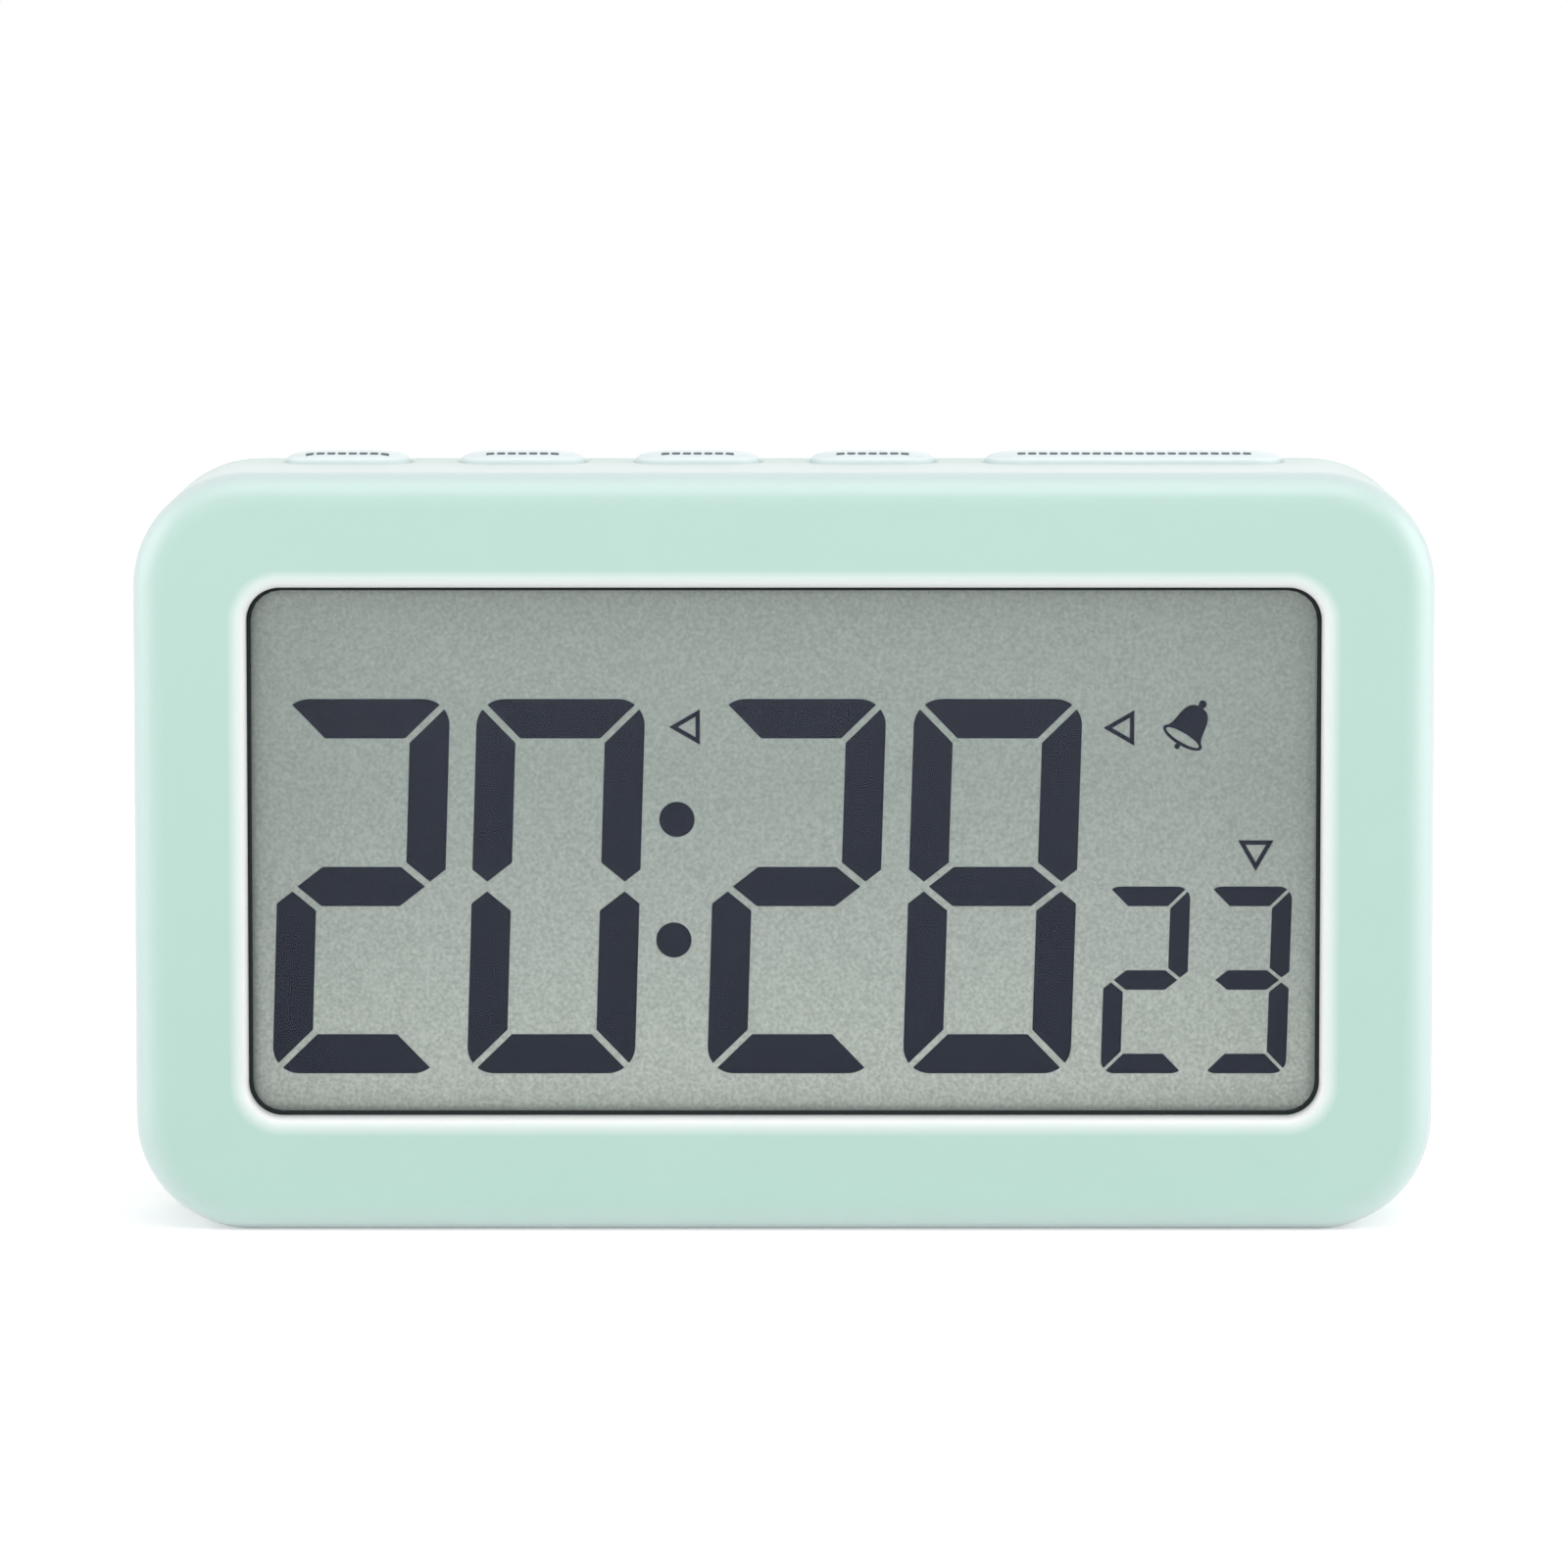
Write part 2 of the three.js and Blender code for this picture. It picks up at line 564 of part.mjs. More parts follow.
// Rear cover: a shallow lid with a locating lip, the battery bay, the stand pocket and a sound chamber
function rearCover() {
  const coverY = seamY + SEAM_GAP;
  const rings = [caseRing(coverY, SEAM_CHAMFER), caseRing(coverY + SEAM_CHAMFER, 0)];
  for (const { inset, along } of edgeSteps(REAR_EDGE_RADIUS).reverse()) {
    rings.push(caseRing(rearY - along, inset));
  }
  const lidBlank = loft(rings);
  const lid = lidBlank.subtract(loft([caseRing(coverY - CUT, SIDE_WALL), caseRing(rearInnerY, SIDE_WALL)]));

  const lipInset = SIDE_WALL + LIP_CLEARANCE;
  const lipBottom = coverY - LIP_HEIGHT;
  const insideWalls = loft([caseRing(lipBottom, lipInset), caseRing(rearInnerY + GLUE, lipInset)]);
  const coverRoom = lidBlank.add(insideWalls);
  const lipRing = insideWalls.subtract(loft([
    caseRing(lipBottom - CUT, lipInset + LIP_THICKNESS),
    caseRing(rearInnerY + CUT, lipInset + LIP_THICKNESS),
  ]));
  const keySide = block(-bodyWidth, bodyWidth, lipBottom - CUT, coverY + CUT,
    bodyHeight - CORNER_RADIUS, bodyHeight);
  const lip = lipRing.subtract(keySide);

  const screwSpots = sides.flatMap((side) => casePostZ.map((z) => [side * postX, z]));
  const bosses = screwSpots.map(([x, z]) => (
    rodY(POST_RADIUS, bossBottomY, rearInnerY + GLUE, x, z).intersect(coverRoom)));
  const screwHoles = screwSpots.flatMap(([x, z]) => [
    rodY(CASE_SCREW_RADIUS + SCREW_CLEARANCE, bossBottomY - CUT, rearY, x, z, PIN_STEPS),
    rodY(CASE_HEAD_RADIUS + SCREW_CLEARANCE, rearY - CASE_HEAD_SINK, rearY + CUT, x, z),
  ]);

  const tub = block(-bayHalf - BAY_WALL, bayHalf + BAY_WALL, at(bayOuter), rearInnerY + GLUE,
    bayBottom - BAY_WALL, bayTop + BAY_WALL);
  const seatY = doorInnerY - DOOR_SEAT_THICKNESS;
  const seatMargin = DOOR_GAP + DOOR_SEAT_MARGIN;
  const seat = block(-seatHalf, seatHalf, seatY, rearInnerY + GLUE,
    doorBottom - seatMargin, doorTop + seatMargin);
  const rebate = plateY(doorInnerY - GLUE, rearY + CUT, 2 * (doorHalf + DOOR_GAP),
    doorHeight + 2 * DOOR_GAP, DOOR_CORNER + DOOR_GAP, doorZ);

  const pocketBox = block(-pocketHalf - POCKET_WALL, pocketHalf + POCKET_WALL, pocketFloorY - POCKET_FLOOR,
    rearInnerY + GLUE, 0, pocketTop + POCKET_WALL).intersect(coverRoom);
  const pocket = block(-pocketHalf, pocketHalf, pocketFloorY, rearY + CUT, STAND_SILL, pocketTop);
  const pinReach = STAND_WIDTH / 2 + STAND_PIN_LENGTH + STAND_CLEARANCE;
  const pinHoleRadius = STAND_PIN_RADIUS + STAND_PIN_CLEARANCE;
  const pinHole = rodX(pinHoleRadius, -pinReach, pinReach, hingeY, hingeZ, PIN_STEPS);
  const notch = block(-FINGER_NOTCH_WIDTH / 2, FINGER_NOTCH_WIDTH / 2, pocketFloorY, rearY + CUT,
    -CUT, STAND_SILL + CUT);

  const chamber = rodY(buzzerRadius + CHAMBER_MARGIN, chamberY, rearInnerY + GLUE, buzzerX, buzzerZ)
    .subtract(rodY(buzzerRadius + CHAMBER_MARGIN - CHAMBER_WALL, chamberY - CUT, rearInnerY + CUT,
      buzzerX, buzzerZ));
  const soundHoles = Array.from({ length: SOUND_HOLES }, (_, i) => {
    const angle = (2 * Math.PI * i) / SOUND_HOLES;
    return [buzzerX + SOUND_HOLE_RING * Math.cos(angle), buzzerZ + SOUND_HOLE_RING * Math.sin(angle)];
  });
  soundHoles.push([buzzerX, buzzerZ]);
  const sound = soundHoles.map(([x, z]) => (
    rodY(SOUND_HOLE_RADIUS, rearInnerY - CUT, rearY + CUT, x, z, PIN_STEPS)));

  const scoop = rodY(LATCH_SCOOP_RADIUS, rearY - LATCH_SCOOP_DEPTH, rearY + CUT, 0, doorTop);
  const body = joined([lid, lip, ...bosses, tub, seat, pocketBox, chamber]);
  const cutters = [...screwHoles, ...bayCutters(), rebate, scoop, ...hookPockets(), pocket, pinHole, notch];
  return cutBy(body, [...cutters, ...sound]);
}

// Room in the cover for each hook, deep enough for its toe to turn in
function hookPockets() {
  const swept = Math.hypot(rearY - toeInnerY, HOOK_TOE) + HOOK_TURN_CLEARANCE;
  return hookX.map((x) => block(
    x - HOOK_WIDTH / 2 - DOOR_GAP,
    x + HOOK_WIDTH / 2 + DOOR_GAP,
    rearY - swept,
    doorInnerY,
    doorBottom - HOOK_TOE - DOOR_GAP,
    bayBottom + GLUE,
  ));
}

// Battery door: a plate with two hooks below and a springy latch tongue above
function batteryDoor() {
  const plate = plateY(doorInnerY, rearY, 2 * doorHalf, doorHeight, DOOR_CORNER, doorZ);
  const neckTop = doorBottom + HOOK_CLEARANCE + HOOK_NECK;
  const profile = [
    [doorInnerY + GLUE, doorBottom + HOOK_CLEARANCE],
    [toeOuterY, doorBottom + HOOK_CLEARANCE],
    [toeOuterY, doorBottom - HOOK_TOE],
    [toeInnerY, doorBottom - HOOK_TOE],
    [toeInnerY, neckTop],
    [doorInnerY + GLUE, neckTop],
  ];
  const hooks = hookX.map((x) => profileX(profile, x - HOOK_WIDTH / 2, x + HOOK_WIDTH / 2));
  const slits = sides.map((side) => {
    const x = (side * (LATCH_WIDTH + LATCH_SLIT)) / 2;
    return block(x - LATCH_SLIT / 2, x + LATCH_SLIT / 2, doorInnerY - CUT, rearY + CUT,
      doorTop - LATCH_LENGTH, doorTop + CUT);
  });
  const bumpY = doorInnerY + DOOR_THICKNESS / 2;
  const bumpZ = doorTop + LATCH_BUMP - LATCH_BUMP_RADIUS;
  const bump = rodX(LATCH_BUMP_RADIUS, -LATCH_WIDTH / 2, LATCH_WIDTH / 2, bumpY, bumpZ, PIN_STEPS);
  return cutBy(joined([plate, ...hooks, bump]), slits);
}

// Folding stand: a plate with rounded lower corners that hangs from a barrel with a pin at each end
function foldingStand() {
  const half = STAND_WIDTH / 2;
  const shape = new THREE.Shape();
  shape.moveTo(half, hingeZ);
  shape.lineTo(-half, hingeZ);
  shape.lineTo(-half, standBottom + STAND_CORNER);
  shape.absarc(-half + STAND_CORNER, standBottom + STAND_CORNER, STAND_CORNER, Math.PI, 1.5 * Math.PI);
  shape.lineTo(half - STAND_CORNER, standBottom);
  shape.absarc(half - STAND_CORNER, standBottom + STAND_CORNER, STAND_CORNER, 1.5 * Math.PI, 2 * Math.PI);
  shape.closePath();
  const geometry = new THREE.ExtrudeGeometry(shape, {
    depth: STAND_THICKNESS,
    bevelEnabled: false,
    curveSegments: CORNER_STEPS,
  });
  const leaf = solidOf(geometry.rotateX(Math.PI / 2).translate(0, standInnerY + STAND_THICKNESS, 0));
  const barrel = rodX(STAND_THICKNESS / 2, -half, half, hingeY, hingeZ);
  const pinEnd = half + STAND_PIN_LENGTH;
  const pins = rodX(STAND_PIN_RADIUS, -pinEnd, pinEnd, hingeY, hingeZ, PIN_STEPS);
  return joined([leaf, barrel, pins]);
}

// Key: wings that hold it under the top wall, a shaft through the wall, a crown and a stem
function keyCap(key) {
  const crownInset = KEY_DEPTH / 2 - KEY_CROWN_FLAT;
  const sideTop = bodyHeight + KEY_SIDE;
  const rings = [
    keyRing(flangeBottom, key, 0, KEY_WING),
    keyRing(flangeTop, key, 0, KEY_WING),
    keyRing(flangeTop, key, 0),
    keyRing(sideTop, key, 0),
  ];
  for (let step = 1; step <= EDGE_STEPS; step++) {
    const angle = (Math.PI / 2) * (step / EDGE_STEPS);
    rings.push(keyRing(sideTop + KEY_CROWN * Math.sin(angle), key, -crownInset * (1 - Math.cos(angle))));
  }
  return loft(rings).add(rodZ(KEY_STEM_RADIUS, stemBottom, flangeBottom + GLUE, 0, 0));
}

// Tact switch: a square body with a bore deep enough for the plunger's travel
function switchBody() {
  const shell = loft([
    ringZ(switchBottom, SWITCH_SIZE, SWITCH_SIZE, SWITCH_CORNER, SMALL_CORNER_STEPS),
    ringZ(switchTop, SWITCH_SIZE, SWITCH_SIZE, SWITCH_CORNER, SMALL_CORNER_STEPS),
  ]);
  const boreBottom = switchTop - PLUNGER_SEAT - KEY_TRAVEL - PLUNGER_CLEARANCE;
  return shell.subtract(rodZ(PLUNGER_RADIUS + PLUNGER_CLEARANCE, boreBottom, switchTop + CUT, 0, 0));
}

const switchPlunger = () => rodZ(PLUNGER_RADIUS, switchTop - PLUNGER_SEAT, plungerTop, 0, 0);

// Board that carries the switches, with holes for its screws
function keyBoard() {
  const board = block(keyBoardLeft, keyBoardRight, keyBoardFrontY, keyBoardRearY,
    keyBoardBottom, keyBoardTop);
  const holes = keyBossX.map((x) => rodZ(BOARD_SCREW_RADIUS + SCREW_CLEARANCE, keyBoardBottom - CUT,
    keyBoardTop + CUT, x, keyY, PIN_STEPS));
  return cutBy(board, holes);
}

// Pin header that joins the two boards: a strip with a row of pins over the key board
function boardHeader() {
  const pitch = HEADER_PIN + HEADER_PIN_GAP;
  const length = HEADER_PINS * pitch;
  const pinBottom = keyBoardTop + HEADER_GAP;
  const stripBack = keyBoardFrontY - HEADER_GAP;
  const stripBottom = pinBottom + HEADER_PIN / 2 - HEADER_HEIGHT / 2;
  const strip = block(-length / 2, length / 2, at(boardBack + GLUE), stripBack, stripBottom,
    stripBottom + HEADER_HEIGHT);
  const pins = Array.from({ length: HEADER_PINS }, (_, i) => {
    const x = (i + 0.5) * pitch - length / 2;
    return block(x - HEADER_PIN / 2, x + HEADER_PIN / 2, stripBack - GLUE, keyBoardFrontY + HEADER_REACH,
      pinBottom, pinBottom + HEADER_PIN);
  });
  return joined([strip, ...pins]);
}

// Main board with four ears that reach over the posts
function mainBoard() {
  const height = holderTop - holderBottom - 2 * BOARD_INSET;
  const half = holderHalf - BOARD_INSET;
  const y0 = at(boardFront);
  const y1 = at(boardBack);
  const board = plateY(y0, y1, 2 * half, height, BOARD_CORNER, (holderTop + holderBottom) / 2);
  const reach = postX + BOARD_EAR_MARGIN;
  const ears = boardPostZ.map((z) => (
    block(-reach, reach, y0, y1, z - BOARD_EAR_HEIGHT / 2, z + BOARD_EAR_HEIGHT / 2)));
  const holes = sides.flatMap((side) => boardPostZ.map((z) => rodY(BOARD_SCREW_RADIUS + SCREW_CLEARANCE,
    y0 - CUT, y1 + CUT, side * postX, z, PIN_STEPS)));
  return cutBy(joined([board, ...ears]), holes);
}

// Tray that holds the display glass against the window, with a slot for the contact strip
function displayHolder() {
  const height = holderTop - holderBottom;
  const centreZ = (holderTop + holderBottom) / 2;
  const frontFace = at(windowBack + GLUE);
  const tray = plateY(frontFace, at(holderBack), 2 * holderHalf, height, HOLDER_CORNER, centreZ);
  const well = plateY(frontFace - CUT, at(holderFloorFront), glassWidth + 2 * HOLDER_CLEARANCE,
    height - 2 * HOLDER_WALL, GLASS_CORNER, centreZ);
  const slotHalf = zebraHalf + ZEBRA_CLEARANCE;
  const slot = block(-slotHalf, slotHalf, at(holderFloorFront) - CUT, at(holderBack) + CUT,
    zebraZ - ZEBRA_HEIGHT / 2 - ZEBRA_CLEARANCE, zebraZ + ZEBRA_HEIGHT / 2 + ZEBRA_CLEARANCE);
  return cutBy(tray, [well, slot]);
}

// Striped rubber strip that joins the glass ledge to the board
const zebraStrip = () => block(-zebraHalf, zebraHalf, at(frontGlassBack + GLUE), at(boardFront - GLUE),
  zebraZ - ZEBRA_HEIGHT / 2, zebraZ + ZEBRA_HEIGHT / 2);

function glassPlate(front, back, bottom, inset = 0) {
  const height = glassTop - bottom - 2 * inset;
  return plateY(at(front), at(back), glassWidth - 2 * inset, height, GLASS_CORNER, (glassTop + bottom) / 2);
}

// Screw with a domed head: the seat is at the origin and the shank points to -Y
function screw(shankRadius, shankLength, headRadius, headHeight) {
  const tip = shankRadius / 2;
  return turned([
    [0, -shankLength],
    [tip, -shankLength],
    [shankRadius, tip - shankLength],
    [shankRadius, 0],
    [headRadius, 0],
    [headRadius, headHeight / 2],
    [headRadius / 2, headHeight],
    [0, headHeight],
  ], PIN_STEPS);
}

// Dry cell along Y with its nub at the +Y end, centred on its length
function dryCell() {
  const radius = CELL_DIAMETER / 2;
  const end = CELL_LENGTH / 2;
  const shoulder = end - CELL_NUB_LENGTH;
  return turned([
    [0, -end],
    [radius - CELL_SHOULDER, -end],
    [radius, CELL_SHOULDER - end],
    [radius, shoulder - CELL_SHOULDER],
    [radius - CELL_SHOULDER, shoulder],
    [CELL_NUB_RADIUS, shoulder],
    [CELL_NUB_RADIUS, end],
    [0, end],
  ]);
}

// Spring path along +X: it narrows from its plate to its tip
class SpringPath extends THREE.Curve {
  getPoint(t, target = new THREE.Vector3()) {
    const angle = 2 * Math.PI * SPRING_TURNS * t;
    const radius = THREE.MathUtils.lerp(SPRING_BASE_RADIUS, SPRING_TIP_RADIUS, t);
    const start = SPRING_WIRE / 2 - SPRING_BITE;
    const x = THREE.MathUtils.lerp(start, SPRING_LENGTH - SPRING_WIRE / 2, t);
    return target.set(x, radius * Math.cos(angle), radius * Math.sin(angle));
  }
}

// Least gap between turns of the spring, measured between points half a turn apart or more
function leastSpringGap() {
  const samples = SPRING_TURNS * SPRING_STEPS * SPRING_STEPS;
  const points = new SpringPath().getPoints(samples);
  const halfTurn = samples / SPRING_TURNS / 2;
  let least = Infinity;
  for (let i = 0; i < points.length; i++) {
    for (let j = i + halfTurn; j < points.length; j++) {
      least = Math.min(least, points[i].distanceTo(points[j]));
    }
  }
  return least - SPRING_WIRE;
}

// Round section of a wire, as a regular polygon
function wireSection(radius, count) {
  return new THREE.Shape(Array.from({ length: count }, (_, i) => (
    new THREE.Vector2(radius, 0).rotateAround(new THREE.Vector2(), (2 * Math.PI * i) / count))));
}

function springCoil() {
  return solidOf(new THREE.ExtrudeGeometry(wireSection(SPRING_WIRE / 2, SPRING_SIDES), {
    steps: SPRING_TURNS * SPRING_STEPS,
    extrudePath: new SpringPath(),
  }));
}

// Contact plate with its inner face at X = 0, facing +X, over the heights given
function contactPlate(z0, z1) {
  return block(-CONTACT_THICKNESS, 0, -halfContact, halfContact, z0, z1);
}

// Tail of a contact, bent out through the bay's end wall
function contactTail(z) {
  const reach = CONTACT_THICKNESS + CONTACT_GAP + BAY_WALL + TAIL_REACH;
  return block(-reach, -GLUE, -halfContact, CONTACT_THICKNESS - halfContact,
    z - TAIL_WIDTH / 2, z + TAIL_WIDTH / 2);
}

const positiveContact = () => contactPlate(-halfContact, halfContact).add(contactTail(0));
const negativeContact = () => positiveContact().add(springCoil());
const bridgeContact = () => contactPlate(-halfContact, cellPitch + halfContact)
  .add(springCoil().translate([0, 0, cellPitch]));

// Insulated lead: a round wire along a smooth path through a few points
function lead(points) {
  return solidOf(new THREE.ExtrudeGeometry(wireSection(LEAD_RADIUS, LEAD_SIDES), {
    steps: LEAD_STEPS,
    extrudePath: new THREE.CatmullRomCurve3(points.map((p) => new THREE.Vector3(...p))),
  }));
}

// Lead from a contact's tail, over in a bend and down to the main board
function batteryLead(z) {
  const startX = bayHalf + BAY_WALL + TAIL_REACH + LEAD_GAP;
  const boardY = at(boardBack) + LEAD_GAP;
  const startY = tailY + CONTACT_THICKNESS / 2;
  return lead([
    [startX, startY, z],
    [startX + LEAD_BEND / 2, startY, z],
    [startX + LEAD_BEND, (startY + boardY) / 2, z],
    [startX + LEAD_BEND, boardY, z],
  ]);
}

// Lead from the sounder straight down to the main board, bowed a little
function buzzerLead(x, soundY) {
  const boardY = at(boardBack) + LEAD_GAP;
  const startY = soundY - LEAD_GAP;
  return lead([
    [x, startY, buzzerZ],
    [x, startY - LEAD_BEND / 2, buzzerZ],
    [x, (startY + boardY) / 2, buzzerZ - LEAD_BEND],
    [x, boardY + LEAD_BEND / 2, buzzerZ],
    [x, boardY, buzzerZ],
  ]);
}

// Finishes: colour, roughness and metalness
const FINISHES = {
  mint: [0xc3e1d7, 0.45, 0],
  pale_mint: [0xd6eae4, 0.4, 0],
  black_foam: [0x1c1f20, 0.9, 0],
  clear: [0xe8efec, 0.08, 0],
  display_grey: [0xa4aba4, 0.35, 0],
  silver_film: [0xb9bdb8, 0.3, 0.4],
  white_plastic: [0xe9e9e4, 0.5, 0],
  dark_rubber: [0x2a2a2c, 0.8, 0],
  board_green: [0x2f6b43, 0.5, 0],
  black_epoxy: [0x151515, 0.35, 0],
  steel: [0xb8bcc0, 0.3, 1],
  brass: [0xc9a24b, 0.35, 1],
  ceramic: [0xe6e2d6, 0.6, 0],
  cell_jacket: [0x3c4a57, 0.35, 0.3],
  red_lead: [0xb02a24, 0.5, 0],
  black_lead: [0x222222, 0.5, 0],
};

const clock = new THREE.Group();

function place(name, solid, finish, position = [0, 0, 0]) {
  const { vertProperties, triVerts } = solid.getMesh();
  const geometry = new THREE.BufferGeometry();
  geometry.setAttribute('position', new THREE.BufferAttribute(vertProperties, 3));
  geometry.setIndex(new THREE.BufferAttribute(triVerts, 1));
  geometry.computeVertexNormals();
  const [color, roughness, metalness] = FINISHES[finish];
  const mesh = new THREE.Mesh(geometry, new THREE.MeshStandardMaterial({ color, roughness, metalness }));
  mesh.name = name;
  mesh.position.set(...position);
  clock.add(mesh);
  return mesh;
}

// Case and display
place('front_shell', frontShell(), 'mint');
place('rear_cover', rearCover(), 'mint');
place('window_tape', windowPlate(at(tapeFront), at(tapeFront + TAPE_THICKNESS), WINDOW_LAP)
  .subtract(windowPlate(at(tapeFront) - CUT, at(windowFront) + CUT, -TAPE_SHOW)), 'black_foam');
place('display_window', windowPlate(at(windowFront), at(windowBack), WINDOW_LAP), 'clear');
place('display_front_glass', glassPlate(frontGlassFront, frontGlassBack, glassBottom), 'display_grey');
place('display_rear_glass', glassPlate(rearGlassFront, rearGlassBack, rearGlassBottom), 'display_grey');
place('display_reflector', glassPlate(reflectorFront, reflectorBack, rearGlassBottom, REFLECTOR_INSET),
  'silver_film');
place('display_holder', displayHolder(), 'white_plastic');
place('contact_strip', zebraStrip(), 'dark_rubber');

// Main board and its parts, in a row below the battery bay
place('main_board', mainBoard(), 'board_green');
const boardFaceY = at(boardBack + GLUE);
const chip = turned([
  [0, 0],
  [CHIP_RADIUS, 0],
  ...edgeSteps(CHIP_HEIGHT).reverse().map(({ inset, along }) => [CHIP_RADIUS - inset, CHIP_HEIGHT - along]),
  [0, CHIP_HEIGHT],
]);
place('chip_blob', chip, 'black_epoxy', [-PARTS_ROW_GAP - CHIP_RADIUS, boardFaceY, PARTS_ROW_HEIGHT]);
place('quartz_crystal', rodX(CRYSTAL_RADIUS, 0, CRYSTAL_LENGTH, CRYSTAL_RADIUS, 0, PIN_STEPS), 'steel',
  [0, boardFaceY, PARTS_ROW_HEIGHT]);
place('capacitor', rodY(CAPACITOR_RADIUS, 0, CAPACITOR_LENGTH, 0, 0), 'black_epoxy',
  [CRYSTAL_LENGTH + PARTS_ROW_GAP + CAPACITOR_RADIUS, boardFaceY, PARTS_ROW_HEIGHT]);

// Keys with their switches
place('key_board', keyBoard(), 'board_green');
place('board_header', boardHeader(), 'black_epoxy');
for (const key of keys) {
  place(`key_${key.name}`, keyCap(key), 'pale_mint', [key.x, keyY, 0]);
  place(`switch_body_${key.name}`, switchBody(), 'black_epoxy', [key.x, keyY, 0]);
  place(`switch_plunger_${key.name}`, switchPlunger(), 'white_plastic', [key.x, keyY, 0]);
}

// Battery bay, its contacts and cells
for (const [name, z, side] of [['upper', upperCellZ, 1], ['lower', lowerCellZ, -1]]) {
  const x = side * (cellEndX - CELL_LENGTH / 2);
  const mesh = place(`battery_${name}`, dryCell(), 'cell_jacket', [x, cellY, z]);
  mesh.rotation.z = (-side * Math.PI) / 2;
}
place('contact_positive', positiveContact(), 'steel', [contactX, cellY, upperCellZ]).rotation.y = Math.PI;
place('contact_negative', negativeContact(), 'steel', [contactX, cellY, lowerCellZ]).rotation.y = Math.PI;
place('contact_bridge', bridgeContact(), 'steel', [-contactX, cellY, lowerCellZ]);
place('battery_lead_red', batteryLead(upperCellZ), 'red_lead');
place('battery_lead_black', batteryLead(lowerCellZ), 'black_lead');
place('battery_door', batteryDoor(), 'mint');
place('folding_stand', foldingStand(), 'mint');

// Sounder
place('buzzer_plate', rodY(buzzerRadius, buzzerFrontY, chamberY - GLUE, buzzerX, buzzerZ), 'brass');
place('buzzer_ceramic', rodY(ceramicRadius, ceramicFrontY, buzzerFrontY - GLUE, buzzerX, buzzerZ),
  'ceramic');
const brassEdgeX = buzzerX - (ceramicRadius + buzzerRadius) / 2;
place('buzzer_lead_red', buzzerLead(buzzerX, ceramicFrontY), 'red_lead');
place('buzzer_lead_black', buzzerLead(brassEdgeX, buzzerFrontY), 'black_lead');

// Screws
const corners = sides.flatMap((side) => [0, 1].map((row) => [side * postX, row]));
corners.forEach(([x, row], i) => {
  const caseScrew = screw(CASE_SCREW_RADIUS, CASE_SCREW_LENGTH, CASE_HEAD_RADIUS, CASE_HEAD_HEIGHT);
  const boardScrew = screw(BOARD_SCREW_RADIUS, BOARD_SCREW_LENGTH, BOARD_HEAD_RADIUS, BOARD_HEAD_HEIGHT);
  place(`case_screw_${i + 1}`, caseScrew, 'steel', [x, caseHeadY, casePostZ[row]]);
  place(`board_screw_${i + 1}`, boardScrew, 'steel', [x, boardFaceY, boardPostZ[row]]);
});
keyBossX.forEach((x, i) => {
  const keyScrew = screw(BOARD_SCREW_RADIUS, BOARD_SCREW_LENGTH, BOARD_HEAD_RADIUS, BOARD_HEAD_HEIGHT);
  const mesh = place(`key_board_screw_${i + 1}`, keyScrew, 'steel', [x, keyY, keyBoardBottom - GLUE]);
  mesh.rotation.x = -Math.PI / 2;
});

console.log(`least gap between spring turns: ${leastSpringGap().toFixed(2)} mm`);

export default clock;
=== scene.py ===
"""Looks of a mint-green table clock with a large liquid-crystal display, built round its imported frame."""

import math

import bmesh
import bpy
from mathutils import Color, Matrix, Vector


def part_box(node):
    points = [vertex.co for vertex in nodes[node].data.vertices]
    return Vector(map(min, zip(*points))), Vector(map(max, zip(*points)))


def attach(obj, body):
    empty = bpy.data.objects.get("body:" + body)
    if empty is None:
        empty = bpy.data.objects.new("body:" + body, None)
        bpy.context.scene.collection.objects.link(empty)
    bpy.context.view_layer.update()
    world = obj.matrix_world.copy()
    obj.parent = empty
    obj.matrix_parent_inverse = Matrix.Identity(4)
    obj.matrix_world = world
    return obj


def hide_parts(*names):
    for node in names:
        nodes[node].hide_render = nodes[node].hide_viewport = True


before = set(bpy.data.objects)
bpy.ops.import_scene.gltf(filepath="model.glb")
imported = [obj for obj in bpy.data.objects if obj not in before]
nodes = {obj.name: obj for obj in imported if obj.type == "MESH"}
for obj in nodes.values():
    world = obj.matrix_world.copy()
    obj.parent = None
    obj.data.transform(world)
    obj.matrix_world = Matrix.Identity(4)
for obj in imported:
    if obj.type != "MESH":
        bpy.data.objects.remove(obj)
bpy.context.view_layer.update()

MM = 0.001

# Case walls, edges and seam
CORNER_RADIUS = 9.7 * MM
FRONT_EDGE_RADIUS = 2.75 * MM
REAR_EDGE_RADIUS = 2 * MM
SIDE_WALL = 2 * MM
REAR_WALL = 1.8 * MM
SEAM_CHAMFER = 0.3 * MM
SEAM_GAP = 0.1 * MM
TAPE_GLUE = 0.05 * MM
OPENING_EDGE = 0.15 * MM

# Window opening
WINDOW_LAP = 1.6 * MM
WINDOW_RADIUS = 2.9 * MM
WINDOW_EDGE_RADIUS = 0.8 * MM
# Width of the painted white highlight round the window, and the rings on the flat face that carry it
RIM_WIDTH = 1.55 * MM
RIM_STEPS = 5

# Painted highlight: paler colour along the rounded front edge, which fades along the sides
EDGE_FADE = 0.6
PALE_SIDE = 0.35
PALE_REACH = 18 * MM

# Keys
KEY_NAMES = ("hour", "minute", "second", "mode", "start_stop")
KEY_WING = 0.5 * MM
KEY_FLANGE = 1 * MM
KEY_LASH = 0.1 * MM
KEY_CLEARANCE = 0.25 * MM
KEY_CROWN = 0.7 * MM
KEY_CROWN_FLAT = 0.5 * MM
KEY_STEM_RADIUS = 1.7 * MM
KEY_LIP = 0.15 * MM

